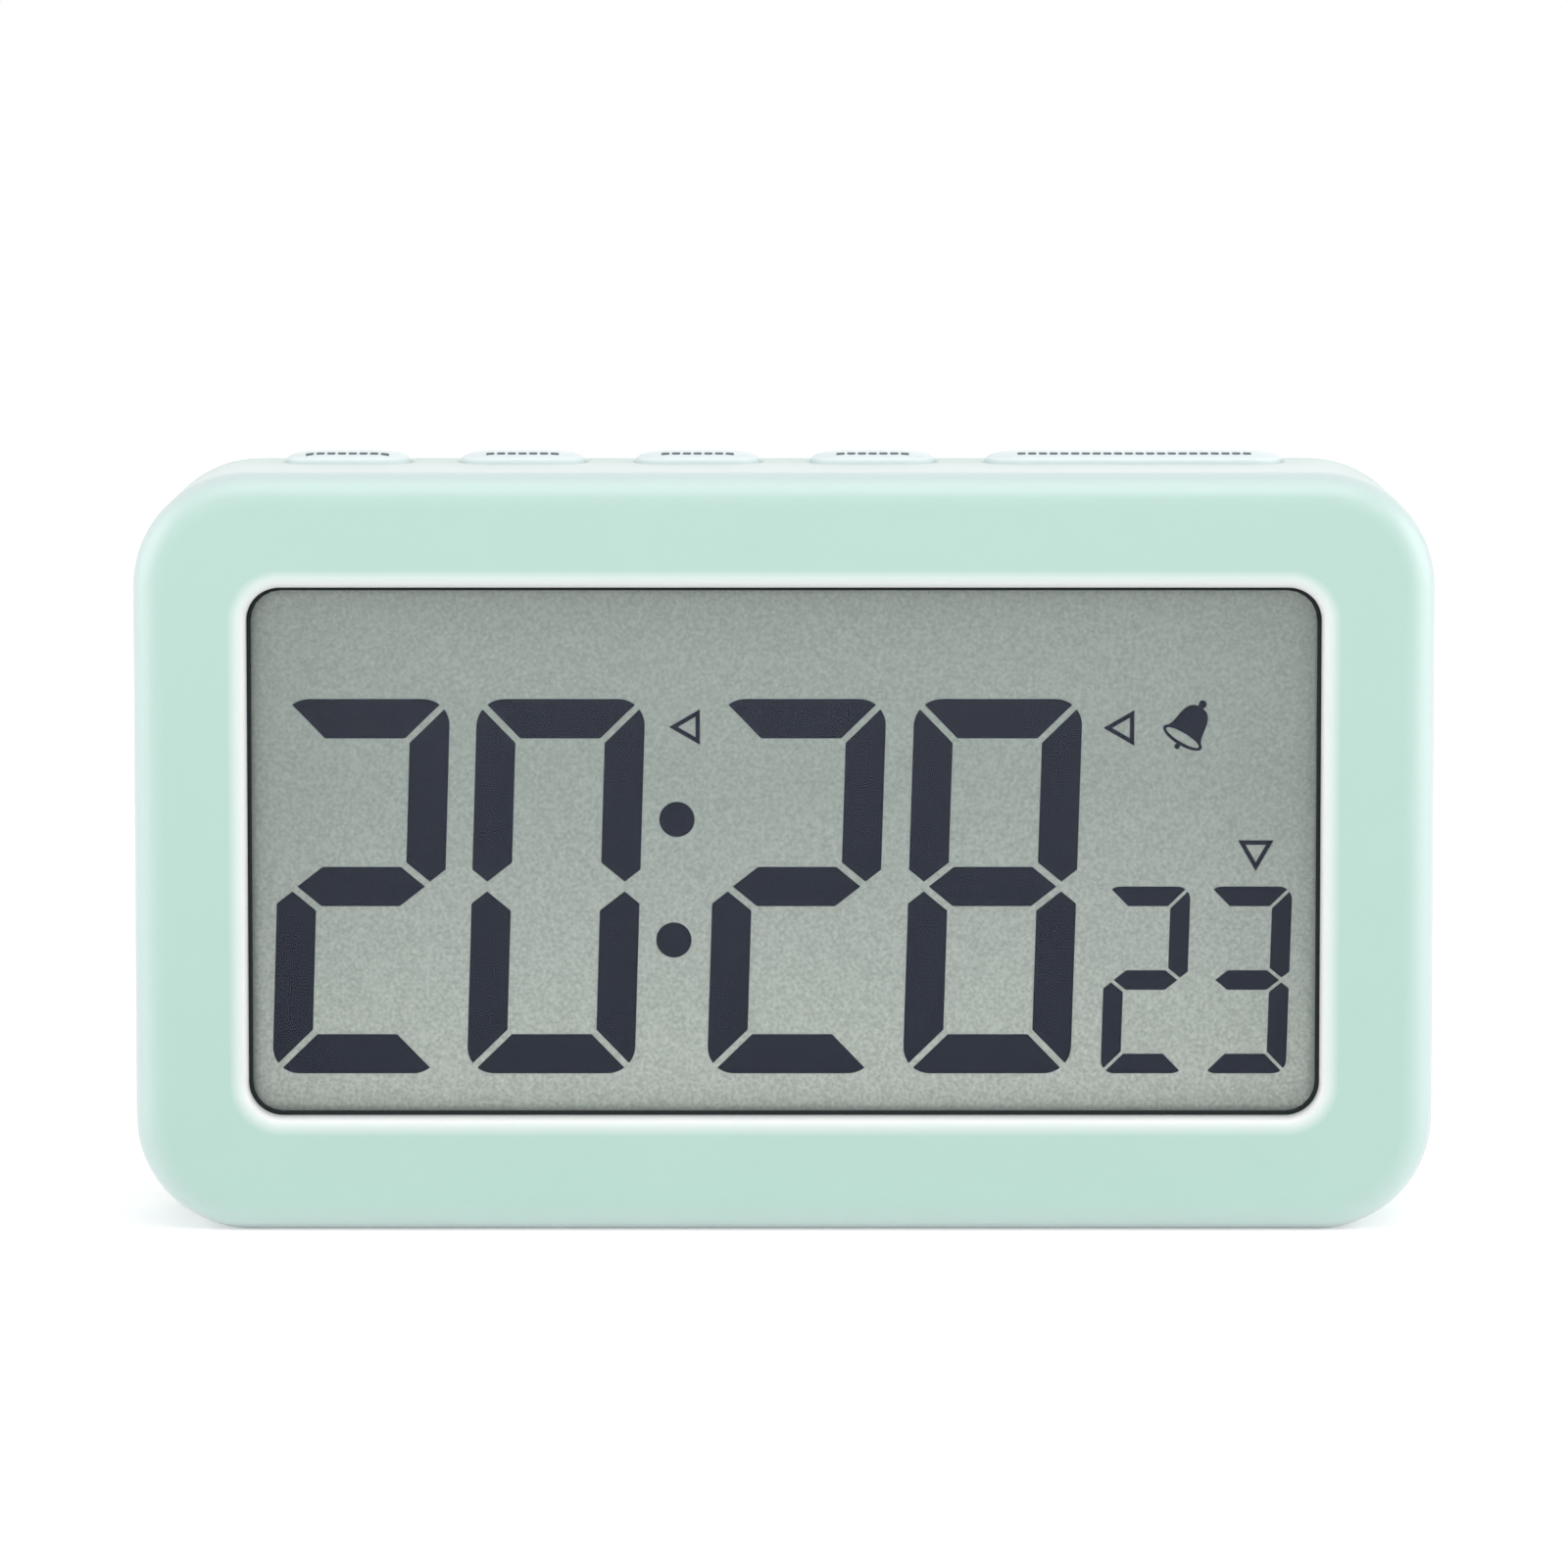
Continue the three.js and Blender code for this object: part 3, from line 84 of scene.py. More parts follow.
# Plain dashes printed on the keys
DASH_COUNTS = {"hour": 8, "minute": 7, "second": 7, "mode": 7, "start_stop": 22}
DASH_PITCH = 0.92 * MM
DASH_LENGTH = 0.7 * MM
DASH_DEPTH = 0.6 * MM
DASH_ROUND = 0.15 * MM
DASH_THICKNESS = 0.05 * MM
DASH_RISE = 0.03 * MM
DASH_FORWARD = 2.2 * MM

# Battery bay and door
CELL_CLEARANCE = 0.25 * MM
CELL_GAP = 0.3 * MM
BAY_WALL = 1 * MM
BAY_END_GAP = 0.8 * MM
CONTACT_POCKET = 1.2 * MM
DOOR_GAP = 0.3 * MM
DOOR_THICKNESS = 1.5 * MM
DOOR_CORNER = 1.2 * MM
DOOR_EDGE = 0.3 * MM
DOOR_SEAT = 1.2 * MM
DOOR_SEAT_MARGIN = 0.8 * MM
HOOK_WIDTH = 6 * MM
HOOK_SPREAD = 32 * MM
HOOK_TOE = 1.2 * MM
HOOK_THICKNESS = 1 * MM
HOOK_CLEARANCE = 0.2 * MM
HOOK_SWEEP = 3.7 * MM
LATCH_WIDTH = 9 * MM
LATCH_LENGTH = 6 * MM
LATCH_SLIT = 0.7 * MM
LATCH_BUMP = 0.12 * MM
LATCH_SCOOP_RADIUS = 6 * MM
LATCH_SCOOP_DEPTH = 1 * MM

# Folding stand
STAND_PIN_LENGTH = 1.2 * MM
STAND_PIN_RADIUS = 0.8 * MM
STAND_PIN_CLEARANCE = 0.15 * MM
STAND_CORNER = 3 * MM
STAND_TOP_CORNER = 0.05 * MM
STAND_EDGE = 0.35 * MM
STAND_CLEARANCE = 0.3 * MM
POCKET_WALL = 1.8 * MM
POCKET_FLOOR = 1.4 * MM
NOTCH_WIDTH = 14 * MM

# How far the forms inside the rear cover reach into its wall, each differently so that no faces coincide
TUB_ROOT = 0.05 * MM
SEAT_ROOT = 0.1 * MM
POCKET_ROOT = 0.15 * MM

# Screws and sound holes
CASE_SCREWS = ("case_screw_1", "case_screw_2", "case_screw_3", "case_screw_4")
BOARD_SCREWS = ("board_screw_1", "board_screw_2", "board_screw_3", "board_screw_4")
KEY_BOARD_SCREWS = ("key_board_screw_1", "key_board_screw_2")
SCREW_SINK = 2.8 * MM
SCREW_HOLE_CLEARANCE = 0.15 * MM
SCREW_HEAD_HEIGHT = 1.5 * MM
SCREW_DOME_RADIUS = 3 * MM
SCREW_SHANK_RADIUS = 1.1 * MM
SCREW_SHANK_DROP = 0.48
SCREW_RECESS_WIDTH = 0.6 * MM
SCREW_RECESS_DEPTH = 0.8 * MM
SOUND_HOLES = 6
SOUND_HOLE_RADIUS = 0.9 * MM
SOUND_HOLE_RING = 3.6 * MM
SOUND_CUT_DEPTH = 7.2 * MM

# Contacts with springs: node, the cell that it presses on, and the side of the bay that it stands at
SPRING_CONTACTS = (("contact_negative", "battery_lower", 1), ("contact_bridge", "battery_upper", -1))
SPRING_TURNS = 3
SPRING_WIRE_RADIUS = 0.35 * MM
SPRING_LENGTH = 4.6 * MM
SPRING_BASE_RADIUS = 3.4 * MM
SPRING_TIP_RADIUS = 2.2 * MM
CONTACT_THICKNESS = 0.4 * MM
CONTACT_GAP = 0.1 * MM
CONTACT_SIZE = 8 * MM

# Cells: the direction of each one's nub, and the rings of its form. Rings of the base are placed from the
# flat end, the others from the tip of the nub. Base and shoulder give shares of the cell's radius.
CELL_DIRECTIONS = {"upper": 1, "lower": -1}
CELL_BASE = ((0.0, 0.82), (0.1 * MM, 0.86), (0.35 * MM, 0.97), (0.6 * MM, 1.0), (0.8 * MM, 1.0))
CELL_SHOULDER = ((2.1 * MM, 1.0), (1.8 * MM, 1.0), (1.5 * MM, 0.96), (1.25 * MM, 0.86), (1.2 * MM, 0.8))
CELL_NUB = (
    (1.2 * MM, 1.95 * MM), (1.15 * MM, 1.9 * MM), (0.2 * MM, 1.9 * MM), (0.05 * MM, 1.8 * MM),
    (0.0, 1.6 * MM))
CELL_BARE_BASE = 0.5 * MM
CELL_BARE_SHOULDER = 1.7 * MM

# Display marks, placed from the middle of the window
MARK_THICKNESS = 0.03 * MM
MARK_ROOT = 0.005 * MM
DIGIT_WIDTH = 14.26 * MM
DIGIT_HEIGHT = 31.95 * MM
DIGIT_STROKE = 3.35 * MM
DIGIT_GAP = 0.55 * MM
DIGIT_TIP_GAP = 0.4125 * MM
DIGIT_CORNER = 2.3 * MM
DIGIT_TIP_INSET = 1.3 * MM
DIGIT_TIP_SLOPE = 0.8
DIGIT_SLANT = math.radians(1.75)
DIGIT_BOTTOM = -19.14 * MM
BIG_DIGIT_SCALE = 1.0
SMALL_DIGIT_SCALE = 0.5
BIG_DIGITS = (("2", -43.5 * MM), ("0", -26.97 * MM), ("2", -6.55 * MM), ("8", 10.08 * MM))
SMALL_DIGITS = (("2", 26.9 * MM), ("3", 35.53 * MM))
SEGMENTS = {"0": "abcdef", "2": "abdeg", "3": "abcdg", "8": "abcdefg"}
COLON_RADIUS = 1.5 * MM
COLON_DOTS = ((-9.08 * MM, 2.56 * MM), (-9.35 * MM, -7.73 * MM))
POINTER_CORNERS = 3
POINTER_RADIUS = 1.75 * MM
POINTER_LINE = 0.38 * MM
POINTERS = (
    ((-8.0 * MM, 10.43 * MM), math.pi),
    ((28.8 * MM, 10.35 * MM), math.pi),
    ((40.02 * MM, -0.1 * MM), -math.pi / 2),
)
BELL_MOUTH = (33.76 * MM, 9.53 * MM)
BELL_TILT = math.radians(31)
BELL_MOUTH_HALF = 1.88 * MM
BELL_MOUTH_RISE = 0.68 * MM
BELL_LINE = 0.29 * MM
BELL_HEIGHT = 3.08 * MM
BELL_FLARE = 0.32
BELL_FLARE_FALL = 5.5
BELL_DOME_POWER = 4.5
BELL_KNOB_RADIUS = 0.34 * MM
BELL_KNOB_HEIGHT = 3.3 * MM
BELL_CLAPPER_RADIUS = 0.24 * MM
BELL_CLAPPER_DROP = 0.872 * MM

# How finely round forms are cut
CORNER_STEPS = 18
EDGE_STEPS = 10
KEY_STEPS = 14
ROUND_STEPS = 40
ARC_STEPS = 8
BELL_STEPS = 16
DASH_CORNER_STEPS = 4
SPRING_STEPS = 32
WIRE_STEPS = 10

# Mesh work: rings that hold an edge, cutters that pass a face, faces kept apart, and points that merge
HOLD = 0.2 * MM
CUT = 1 * MM
OVERLAP = 0.05 * MM
MERGE = 1e-5 * MM
DASH_MERGE = 1e-4 * MM
SMOOTH_ANGLE = math.radians(32)
CROWN_SMOOTH_ANGLE = math.radians(50)
SIDES = (-1, 1)


def middle(node):
    """Middle of a node's box at rest."""
    low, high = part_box(node)
    return (low + high) / 2


# Places read from the frame
shell_low, shell_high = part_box("front_shell")
body_width = shell_high.x - shell_low.x
body_height = shell_high.z - shell_low.z
front_y = shell_low.y
seam_y = shell_high.y
top_z = shell_high.z
cover_y = seam_y + SEAM_GAP
rear_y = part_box("rear_cover")[1].y
rear_inner_y = rear_y - REAR_WALL

tape_low, tape_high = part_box("window_tape")
wall_y = tape_low.y - TAPE_GLUE
window_width = tape_high.x - tape_low.x - 2 * WINDOW_LAP
window_height = tape_high.z - tape_low.z - 2 * WINDOW_LAP
window_z = (tape_low.z + tape_high.z) / 2
glass_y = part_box("display_front_glass")[0].y

upper_low, upper_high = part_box("battery_upper")
lower_low, lower_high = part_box("battery_lower")
cell_radius = (upper_high.z - upper_low.z) / 2
cell_y = (upper_low.y + upper_high.y) / 2
cell_heights = ((lower_low.z + lower_high.z) / 2, (upper_low.z + upper_high.z) / 2)
bay_half = upper_high.x + BAY_END_GAP
bay_low = Vector((-bay_half, lower_low.y - CELL_CLEARANCE, lower_low.z - CELL_GAP))
bay_high = Vector((bay_half, rear_y + CUT, upper_high.z + CELL_GAP))

door_low, door_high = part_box("battery_door")
door_half = door_high.x
door_bottom = door_low.z + HOOK_TOE
door_top = door_high.z - LATCH_BUMP
door_inner_y = rear_y - DOOR_THICKNESS
hook_places = (-HOOK_SPREAD / 2, HOOK_SPREAD / 2)

stand_low, stand_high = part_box("folding_stand")
stand_half = stand_high.x - STAND_PIN_LENGTH
stand_thickness = stand_high.y - stand_low.y
hinge_y = stand_low.y + stand_thickness / 2
hinge_z = stand_high.z - stand_thickness / 2
pocket_half = stand_half + STAND_CLEARANCE
pocket_floor_y = stand_low.y - STAND_CLEARANCE
pocket_top = stand_high.z + STAND_CLEARANCE
pocket_bottom = stand_low.z - STAND_CLEARANCE


# Node tools

def feed(tree, socket, value):
    """Give a socket a value, a link, or a list of links."""
    if isinstance(value, bpy.types.NodeSocket):
        tree.links.new(value, socket)
    elif isinstance(value, list):
        for source in value:
            tree.links.new(source, socket)
    else:
        socket.default_value = value


def add_node(tree, kind, sockets=None, **settings):
    """A node with its settings, and with its sockets fed by name or number."""
    node = tree.nodes.new(kind)
    for name, value in settings.items():
        setattr(node, name, value)
    for name, value in (sockets or {}).items():
        feed(tree, node.inputs[name], value)
    return node


def empty_tree(owner):
    """Node tree of a material or world, with nothing in it yet."""
    owner.use_nodes = True
    owner.node_tree.nodes.clear()
    return owner.node_tree


def math_node(tree, operation, first, second):
    node = add_node(tree, "ShaderNodeMath", {0: first, 1: second}, operation=operation)
    return node.outputs["Value"]


def mapped(tree, value, low, high, start=0.0, end=1.0):
    """A value's share of the way from start to end, as a number from low to high."""
    node = add_node(tree, "ShaderNodeMapRange", {
        "Value": value, "From Min": start, "From Max": end, "To Min": low, "To Max": high})
    return node.outputs["Result"]


def mixed_colour(tree, share, first, second):
    """Colour between two others, each of which is a colour or a link."""
    node = add_node(tree, "ShaderNodeMix", {"Factor": share}, data_type="RGBA")
    colour_sockets = [socket for socket in node.inputs if socket.type == "RGBA"]
    for socket, colour in zip(colour_sockets, (first, second)):
        feed(tree, socket, colour)
    return next(socket for socket in node.outputs if socket.type == "RGBA")


def mixed_shader(tree, share, first, second):
    node = add_node(tree, "ShaderNodeMixShader", {0: share, 1: first, 2: second})
    return node.outputs["Shader"]


# Materials
WHITE_LEVEL = 255
WHITE = (1, 1, 1, 1)
# Names of the painted highlights that the shell carries
PAINTED_RIM_HIGHLIGHT = "window_rim"
PAINTED_EDGE_HIGHLIGHT = "rounded_edge"
DRIFT_DETAIL = 3.0
FINE_DETAIL = 2.0
SHEEN_ROUGHNESS = 0.5
WAVE_UNIT = math.pi / 10
# Painted shade on the display: its reach in from the window's sides and from its top and bottom, its
# strength, and how it darkens upwards
SIDE_SHADE_REACH = 1.1 * MM
END_SHADE_REACH = 0.8 * MM
EDGE_SHADE_STRENGTH = 0.75
UPWARD_SHADE_STRENGTH = 0.38
UPWARD_SHADE_END = 0.25
HAZE_SIZE = 20 * MM
WINDOW_RELIEF = 0.002 * MM
WINDOW_GLOSS = (0.01, 0.03)
WINDOW_IOR = 1.2


def srgb(*levels):
    """Linear colour from the usual red, green and blue levels."""
    shares = [level / WHITE_LEVEL for level in levels]
    return (*Color(shares).from_srgb_to_scene_linear(), 1.0)


# Colour of the painted shade on the display
PAINTED_SHADE_COLOUR = srgb(118, 136, 134)


def object_place(tree):
    return add_node(tree, "ShaderNodeTexCoord").outputs["Object"]


def noise(tree, place, size, detail):
    node = add_node(tree, "ShaderNodeTexNoise", {"Vector": place, "Scale": 1 / size, "Detail": detail})
    return node.outputs["Fac"]


def surface(tree, pattern, gloss, depth, sockets):
    """Shader whose roughness, between two values, and relief both follow a pattern."""
    relief = add_node(tree, "ShaderNodeBump", {"Height": pattern, "Strength": 1.0, "Distance": depth})
    shader = add_node(tree, "ShaderNodeBsdfPrincipled", {
        "Roughness": mapped(tree, pattern, *gloss), "Normal": relief.outputs["Normal"], **sockets})
    return shader.outputs["BSDF"]


def end_material(tree, shader):
    add_node(tree, "ShaderNodeOutputMaterial", {"Surface": shader})


def patterned(name, light, dark, roughness, spread=0.06, size=7 * MM, grain=0.3 * MM, depth=0.004 * MM,
              metallic=0.0, specular=0.5, sheen=0.0, highlight_colours=None, shade=None):
    """Solid material with a slow drift of colour, a fine grain in its relief and an uneven gloss.

    Highlight colours are painted highlights, laid where a mesh carries the attributes that they are named
    for, and a shade paints shade that changes the colour by place."""
    material = bpy.data.materials.new(name)
    tree = empty_tree(material)
    place = object_place(tree)
    colour = mixed_colour(tree, noise(tree, place, size, DRIFT_DETAIL), dark, light)
    for attribute, highlight_colour in (highlight_colours or {}).items():
        edge = add_node(tree, "ShaderNodeAttribute", attribute_name=attribute)
        colour = mixed_colour(tree, edge.outputs["Fac"], colour, highlight_colour)
    if shade:
        colour = shade(tree, place, colour)
    fine = noise(tree, place, grain, FINE_DETAIL)
    end_material(tree, surface(tree, fine, (roughness - spread, roughness + spread), depth, {
        "Base Color": colour,
        "Metallic": metallic,
        "Specular IOR Level": specular,
        "Sheen Weight": sheen,
        "Sheen Roughness": SHEEN_ROUGHNESS,
    }))
    return material


def painted_bezel_shade(tree, place, colour):
    """Painted shade on the display: darker towards the edge of its window, where the bezel shades it, and
    slowly darker upwards.
    """
    axes = add_node(tree, "ShaderNodeSeparateXYZ", {"Vector": place}).outputs
    half_width, half_height = window_width / 2, window_height / 2
    upright = math_node(tree, "SUBTRACT", axes["Z"], window_z)
    from_side = math_node(tree, "ABSOLUTE", axes["X"], 0.0)
    from_middle = math_node(tree, "ABSOLUTE", upright, 0.0)
    edge_shade = math_node(
        tree, "MAXIMUM",
        mapped(tree, from_side, 0.0, EDGE_SHADE_STRENGTH, half_width - SIDE_SHADE_REACH, half_width),
        mapped(tree, from_middle, 0.0, EDGE_SHADE_STRENGTH, half_height - END_SHADE_REACH, half_height))
    upward_shade = mapped(tree, upright, 0.0, UPWARD_SHADE_STRENGTH, -half_height, UPWARD_SHADE_END * half_height)
    return mixed_colour(tree, math_node(tree, "MAXIMUM", edge_shade, upward_shade), colour, PAINTED_SHADE_COLOUR)


def striped(name, light, dark, roughness, pitch, spread=0.1, depth=0.01 * MM):
    """Rubber with fine layers along X."""
    material = bpy.data.materials.new(name)
    tree = empty_tree(material)
    layers = add_node(tree, "ShaderNodeTexWave", {
        "Vector": object_place(tree), "Scale": WAVE_UNIT / pitch}, bands_direction="X").outputs["Fac"]
    colour = mixed_colour(tree, layers, dark, light)
    gloss = (roughness, roughness + spread)
    end_material(tree, surface(tree, layers, gloss, depth, {"Base Color": colour}))
    return material


def clear_sheet(name):
    """Clear window that lets the lamps through to the display behind it."""
    material = bpy.data.materials.new(name)
    tree = empty_tree(material)
    haze = noise(tree, object_place(tree), HAZE_SIZE, FINE_DETAIL)
    glass = surface(tree, haze, WINDOW_GLOSS, WINDOW_RELIEF, {
        "Base Color": WHITE, "IOR": WINDOW_IOR, "Transmission Weight": 1.0})
    through = add_node(tree, "ShaderNodeBsdfTransparent").outputs["BSDF"]
    shadow = add_node(tree, "ShaderNodeLightPath").outputs["Is Shadow Ray"]
    end_material(tree, mixed_shader(tree, shadow, glass, through))
    return material


# The mint plastic carries painted highlights: white round the window and paler along the rounded front edge
mint = patterned(
    "mint_plastic", srgb(186, 219, 208), srgb(183, 217, 205), roughness=0.36, specular=0.8, sheen=0.4,
    highlight_colours={PAINTED_EDGE_HIGHLIGHT: srgb(216, 234, 233), PAINTED_RIM_HIGHLIGHT: WHITE})
pale_mint = patterned(
    "pale_mint_plastic", srgb(242, 252, 253), srgb(238, 249, 250), roughness=0.38, sheen=0.3)
# The display's edges and top get painted shade
display_face = patterned(
    "display_face", srgb(233, 242, 234), srgb(143, 153, 145), roughness=0.5, size=0.3 * MM, grain=0.2 * MM,
    depth=0.001 * MM, specular=0.2, shade=painted_bezel_shade)
display_ink = patterned(
    "display_ink", srgb(32, 39, 55), srgb(27, 34, 49), roughness=0.6, size=0.4 * MM, specular=0.1)
key_ink = patterned("key_ink", srgb(96, 108, 116), srgb(86, 98, 106), roughness=0.6, size=0.5 * MM)
clear_window = clear_sheet("clear_window")
black_foam = patterned(
    "black_foam", srgb(34, 38, 40), srgb(22, 26, 28), roughness=0.9, size=0.6 * MM, depth=0.02 * MM)
white_plastic = patterned("white_plastic", srgb(233, 233, 228), srgb(226, 226, 221), roughness=0.5)
dark_rubber = striped("dark_rubber", srgb(70, 70, 72), srgb(30, 30, 32), roughness=0.8, pitch=0.1 * MM)
green_board = patterned(
    "green_board", srgb(50, 112, 72), srgb(40, 98, 60), roughness=0.45, size=3 * MM, grain=0.4 * MM)
black_resin = patterned("black_resin", srgb(30, 30, 31), srgb(20, 20, 21), roughness=0.45, size=2 * MM)
steel = patterned(
    "steel", srgb(205, 207, 208), srgb(188, 191, 193), roughness=0.28, grain=0.15 * MM, metallic=1.0)
silver_film = patterned(
    "silver_film", srgb(190, 193, 188), srgb(180, 184, 178), roughness=0.35, metallic=0.4)
brass = patterned("brass", srgb(206, 168, 84), srgb(192, 152, 70), roughness=0.35, metallic=1.0)
ceramic = patterned("white_ceramic", srgb(232, 228, 216), srgb(222, 218, 204), roughness=0.6)
cell_jacket = patterned("cell_jacket", srgb(66, 80, 94), srgb(56, 70, 84), roughness=0.35, metallic=0.3)
red_lead = patterned("red_lead", srgb(180, 46, 40), srgb(166, 36, 32), roughness=0.5)
black_lead = patterned("black_lead", srgb(38, 38, 38), srgb(28, 28, 28), roughness=0.5)


# Mesh tools

def new_object(name, data):
    thing = bpy.data.objects.new(name, data)
    bpy.context.scene.collection.objects.link(thing)
    return thing


def polar(radius, angle):
    return radius * Vector((math.cos(angle), math.sin(angle)))


def polygon(radius, count, turn=0.0):
    """Even polygon round the origin, with its first corner at the turn."""
    return [polar(radius, turn + 2 * math.pi * corner / count) for corner in range(count)]


def circle(radius):
    return polygon(radius, ROUND_STEPS)


def ellipse(half_width, half_height):
    return [Vector((half_width * point.x, half_height * point.y)) for point in circle(1.0)]


def rounded_outline(width, height, radius, steps=CORNER_STEPS, low_radius=None):
    """Rounded rectangle as points round the origin. The lower corners may have a radius of their own."""
    points = []
    for quarter, (side_x, side_z) in enumerate(((1, 1), (-1, 1), (-1, -1), (1, -1))):
        wanted = radius if side_z > 0 or low_radius is None else low_radius
        bend = min(wanted, width / 2, height / 2)
        centre = Vector((side_x * (width / 2 - bend), side_z * (height / 2 - bend)))
        for step in range(steps + 1):
            points.append(centre + polar(bend, math.pi / 2 * (quarter + step / steps)))
    return points


def ring_x(outline, x, middle_y=0.0, middle_z=0.0):
    return [Vector((x, point.x + middle_y, point.y + middle_z)) for point in outline]


def ring_y(outline, y, middle_x=0.0, middle_z=0.0):
    return [Vector((point.x + middle_x, y, point.y + middle_z)) for point in outline]


def ring_z(outline, z, middle_x=0.0, middle_y=0.0):
    return [Vector((point.x + middle_x, point.y + middle_y, z)) for point in outline]


def end_work(name, work):
    """Piece from a mesh that has been worked on."""
    mesh = bpy.data.meshes.new(name)
    work.to_mesh(mesh)
    work.free()
    return new_object(name, mesh)


def loft(name, rings, looped=False):
    """Closed piece through a stack of rings with equal counts, capped at both ends or joined in a loop."""
    work = bmesh.new()
    levels = [[work.verts.new(point) for point in ring] for ring in rings]
    count = len(levels[0])
    pairs = list(zip(levels, levels[1:]))
    if looped:
        pairs.append((levels[-1], levels[0]))
    for lower, upper in pairs:
        for here in range(count):
            after = (here + 1) % count
            work.faces.new((lower[here], lower[after], upper[after], upper[here]))
    if not looped:
        work.faces.new(levels[0])
        work.faces.new(levels[-1])
    bmesh.ops.remove_doubles(work, verts=work.verts, dist=MERGE)
    bmesh.ops.recalc_face_normals(work, faces=work.faces)
    return end_work(name, work)


def block(name, low, high):
    outline = [Vector((low[0], low[2])), Vector((high[0], low[2])), Vector((high[0], high[2])),
               Vector((low[0], high[2]))]
    return loft(name, [ring_y(outline, low[1]), ring_y(outline, high[1])])


def rod_x(name, radius, start, end, y, z):
    return loft(name, [ring_x(circle(radius), x, y, z) for x in (start, end)])


def opening_steps(floor_y):
    """Rings of a cutter in the rear face: each one's place, and its growth where it breaks the edge."""
    return ((floor_y, 0), (rear_y - OPENING_EDGE, 0), (rear_y + CUT, OPENING_EDGE + CUT))


def round_cutter(name, radius, depth, x, z):
    """Cutter for a round hole in the rear face."""
    steps = opening_steps(rear_y - depth)
    return loft(name, [ring_y(circle(radius + grow), y, x, z) for y, grow in steps])


def plate_cutter(name, floor_y, half, bottom, top, radius):
    """Cutter for a rounded rectangular opening in the rear face."""
    rings = []
    for y, grow in opening_steps(floor_y):
        outline = rounded_outline(2 * (half + grow), top - bottom + 2 * grow, radius + grow)
        rings.append(ring_y(outline, y, 0, (bottom + top) / 2))
    return loft(name, rings)


def edge_steps(radius):
    """Rings of a rounded edge: how far in and how far along each one lies."""
    angles = [math.pi / 2 * step / EDGE_STEPS for step in range(EDGE_STEPS + 1)]
    return [(radius * (1 - math.sin(angle)), radius * (1 - math.cos(angle))) for angle in angles]


def settle(piece):
    """Turn a piece and its modifiers into a plain mesh."""
    bpy.context.view_layer.update()
    evaluated = piece.evaluated_get(bpy.context.evaluated_depsgraph_get())
    mesh = bpy.data.meshes.new_from_object(evaluated)
    piece.modifiers.clear()
    piece.data = mesh


def combine(piece, tools, operation):
    """Join a piece with other solids, or cut it by them. They are used up."""
    for tool in tools:
        step = piece.modifiers.new(tool.name, "BOOLEAN")
        step.operation = operation
        step.solver = "EXACT"
        step.object = tool
    settle(piece)
    for tool in tools:
        bpy.data.objects.remove(tool)


def join(name, pieces):
    """One piece from several separate meshes."""
    work = bmesh.new()
    for piece in pieces:
        work.from_mesh(piece.data)
        bpy.data.objects.remove(piece)
    return end_work(name, work)


def paint(thing, material):
    """Give a mesh one material in place of those that it has."""
    thing.data.materials.clear()
    thing.data.materials.append(material)


def dress(piece, material, body, replaced=(), angle=SMOOTH_ANGLE):
    """Smooth the round faces, give the finish, and say what the piece rides on and stands for."""
    paint(piece, material)
    piece.data.shade_smooth()
    piece.data.set_sharp_from_angle(angle=angle)
    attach(piece, body)
    if replaced:
        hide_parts(*replaced)


# Geometry trees for what repeats

def new_tree(name, sizes, counts=()):
    """Geometry tree with named inputs for its sizes, counts and material. Returns it and its inputs."""
    tree = bpy.data.node_groups.new(name, "GeometryNodeTree")
    inputs = [("Geometry", "Geometry")]
    inputs += [(label, "Float") for label in sizes]
    inputs += [(label, "Int") for label in counts]
    inputs.append(("Material", "Material"))
    for label, kind in inputs:
        tree.interface.new_socket(label, in_out="INPUT", socket_type="NodeSocket" + kind)
    tree.interface.new_socket("Geometry", in_out="OUTPUT", socket_type="NodeSocketGeometry")
    return tree, add_node(tree, "NodeGroupInput").outputs


def end_tree(tree, given, geometry):
    real = add_node(tree, "GeometryNodeRealizeInstances", {"Geometry": geometry})
    painted = add_node(tree, "GeometryNodeSetMaterial", {
        "Geometry": real.outputs["Geometry"], "Material": given["Material"]})
    add_node(tree, "NodeGroupOutput", {"Geometry": painted.outputs["Geometry"]})
    return tree


def vector_node(tree, x=0.0, y=0.0, z=0.0):
    return add_node(tree, "ShaderNodeCombineXYZ", {"X": x, "Y": y, "Z": z}).outputs["Vector"]


def raised(tree, mesh, height, turn=0.0):
    """Mesh moved along Z and turned about it."""
    node = add_node(tree, "GeometryNodeTransform", {
        "Geometry": mesh, "Translation": vector_node(tree, z=height), "Rotation": (0, 0, turn)})
    return node.outputs["Geometry"]


def round_bar(tree, radius, length):
    node = add_node(tree, "GeometryNodeMeshCylinder", {
        "Vertices": ROUND_STEPS, "Radius": radius, "Depth": length})
    return node.outputs["Mesh"]


def solid(tree, operation, sockets):
    return add_node(tree, "GeometryNodeMeshBoolean", sockets, operation=operation).outputs["Mesh"]


def gathered(tree, meshes):
    return add_node(tree, "GeometryNodeJoinGeometry", {"Geometry": meshes}).outputs["Geometry"]


def repeated(tree, points, shape, turn=(0, 0, 0)):
    """A shape at each of some points."""
    node = add_node(tree, "GeometryNodeInstanceOnPoints", {
        "Points": points, "Instance": shape, "Rotation": turn})
    return node.outputs["Instances"]


def grown(name, tree, values, points=((0, 0, 0),)):
    """Piece made by a geometry tree from its input values and a few seed points."""
    mesh = bpy.data.meshes.new(name)
    mesh.from_pydata(points, [], [])
    piece = new_object(name, mesh)
    step = piece.modifiers.new(tree.name, "NODES")
    step.node_group = tree
    for socket in tree.interface.items_tree:
        if socket.in_out == "INPUT" and socket.name in values:
            step[socket.identifier] = values[socket.name]
    settle(piece)
    return piece


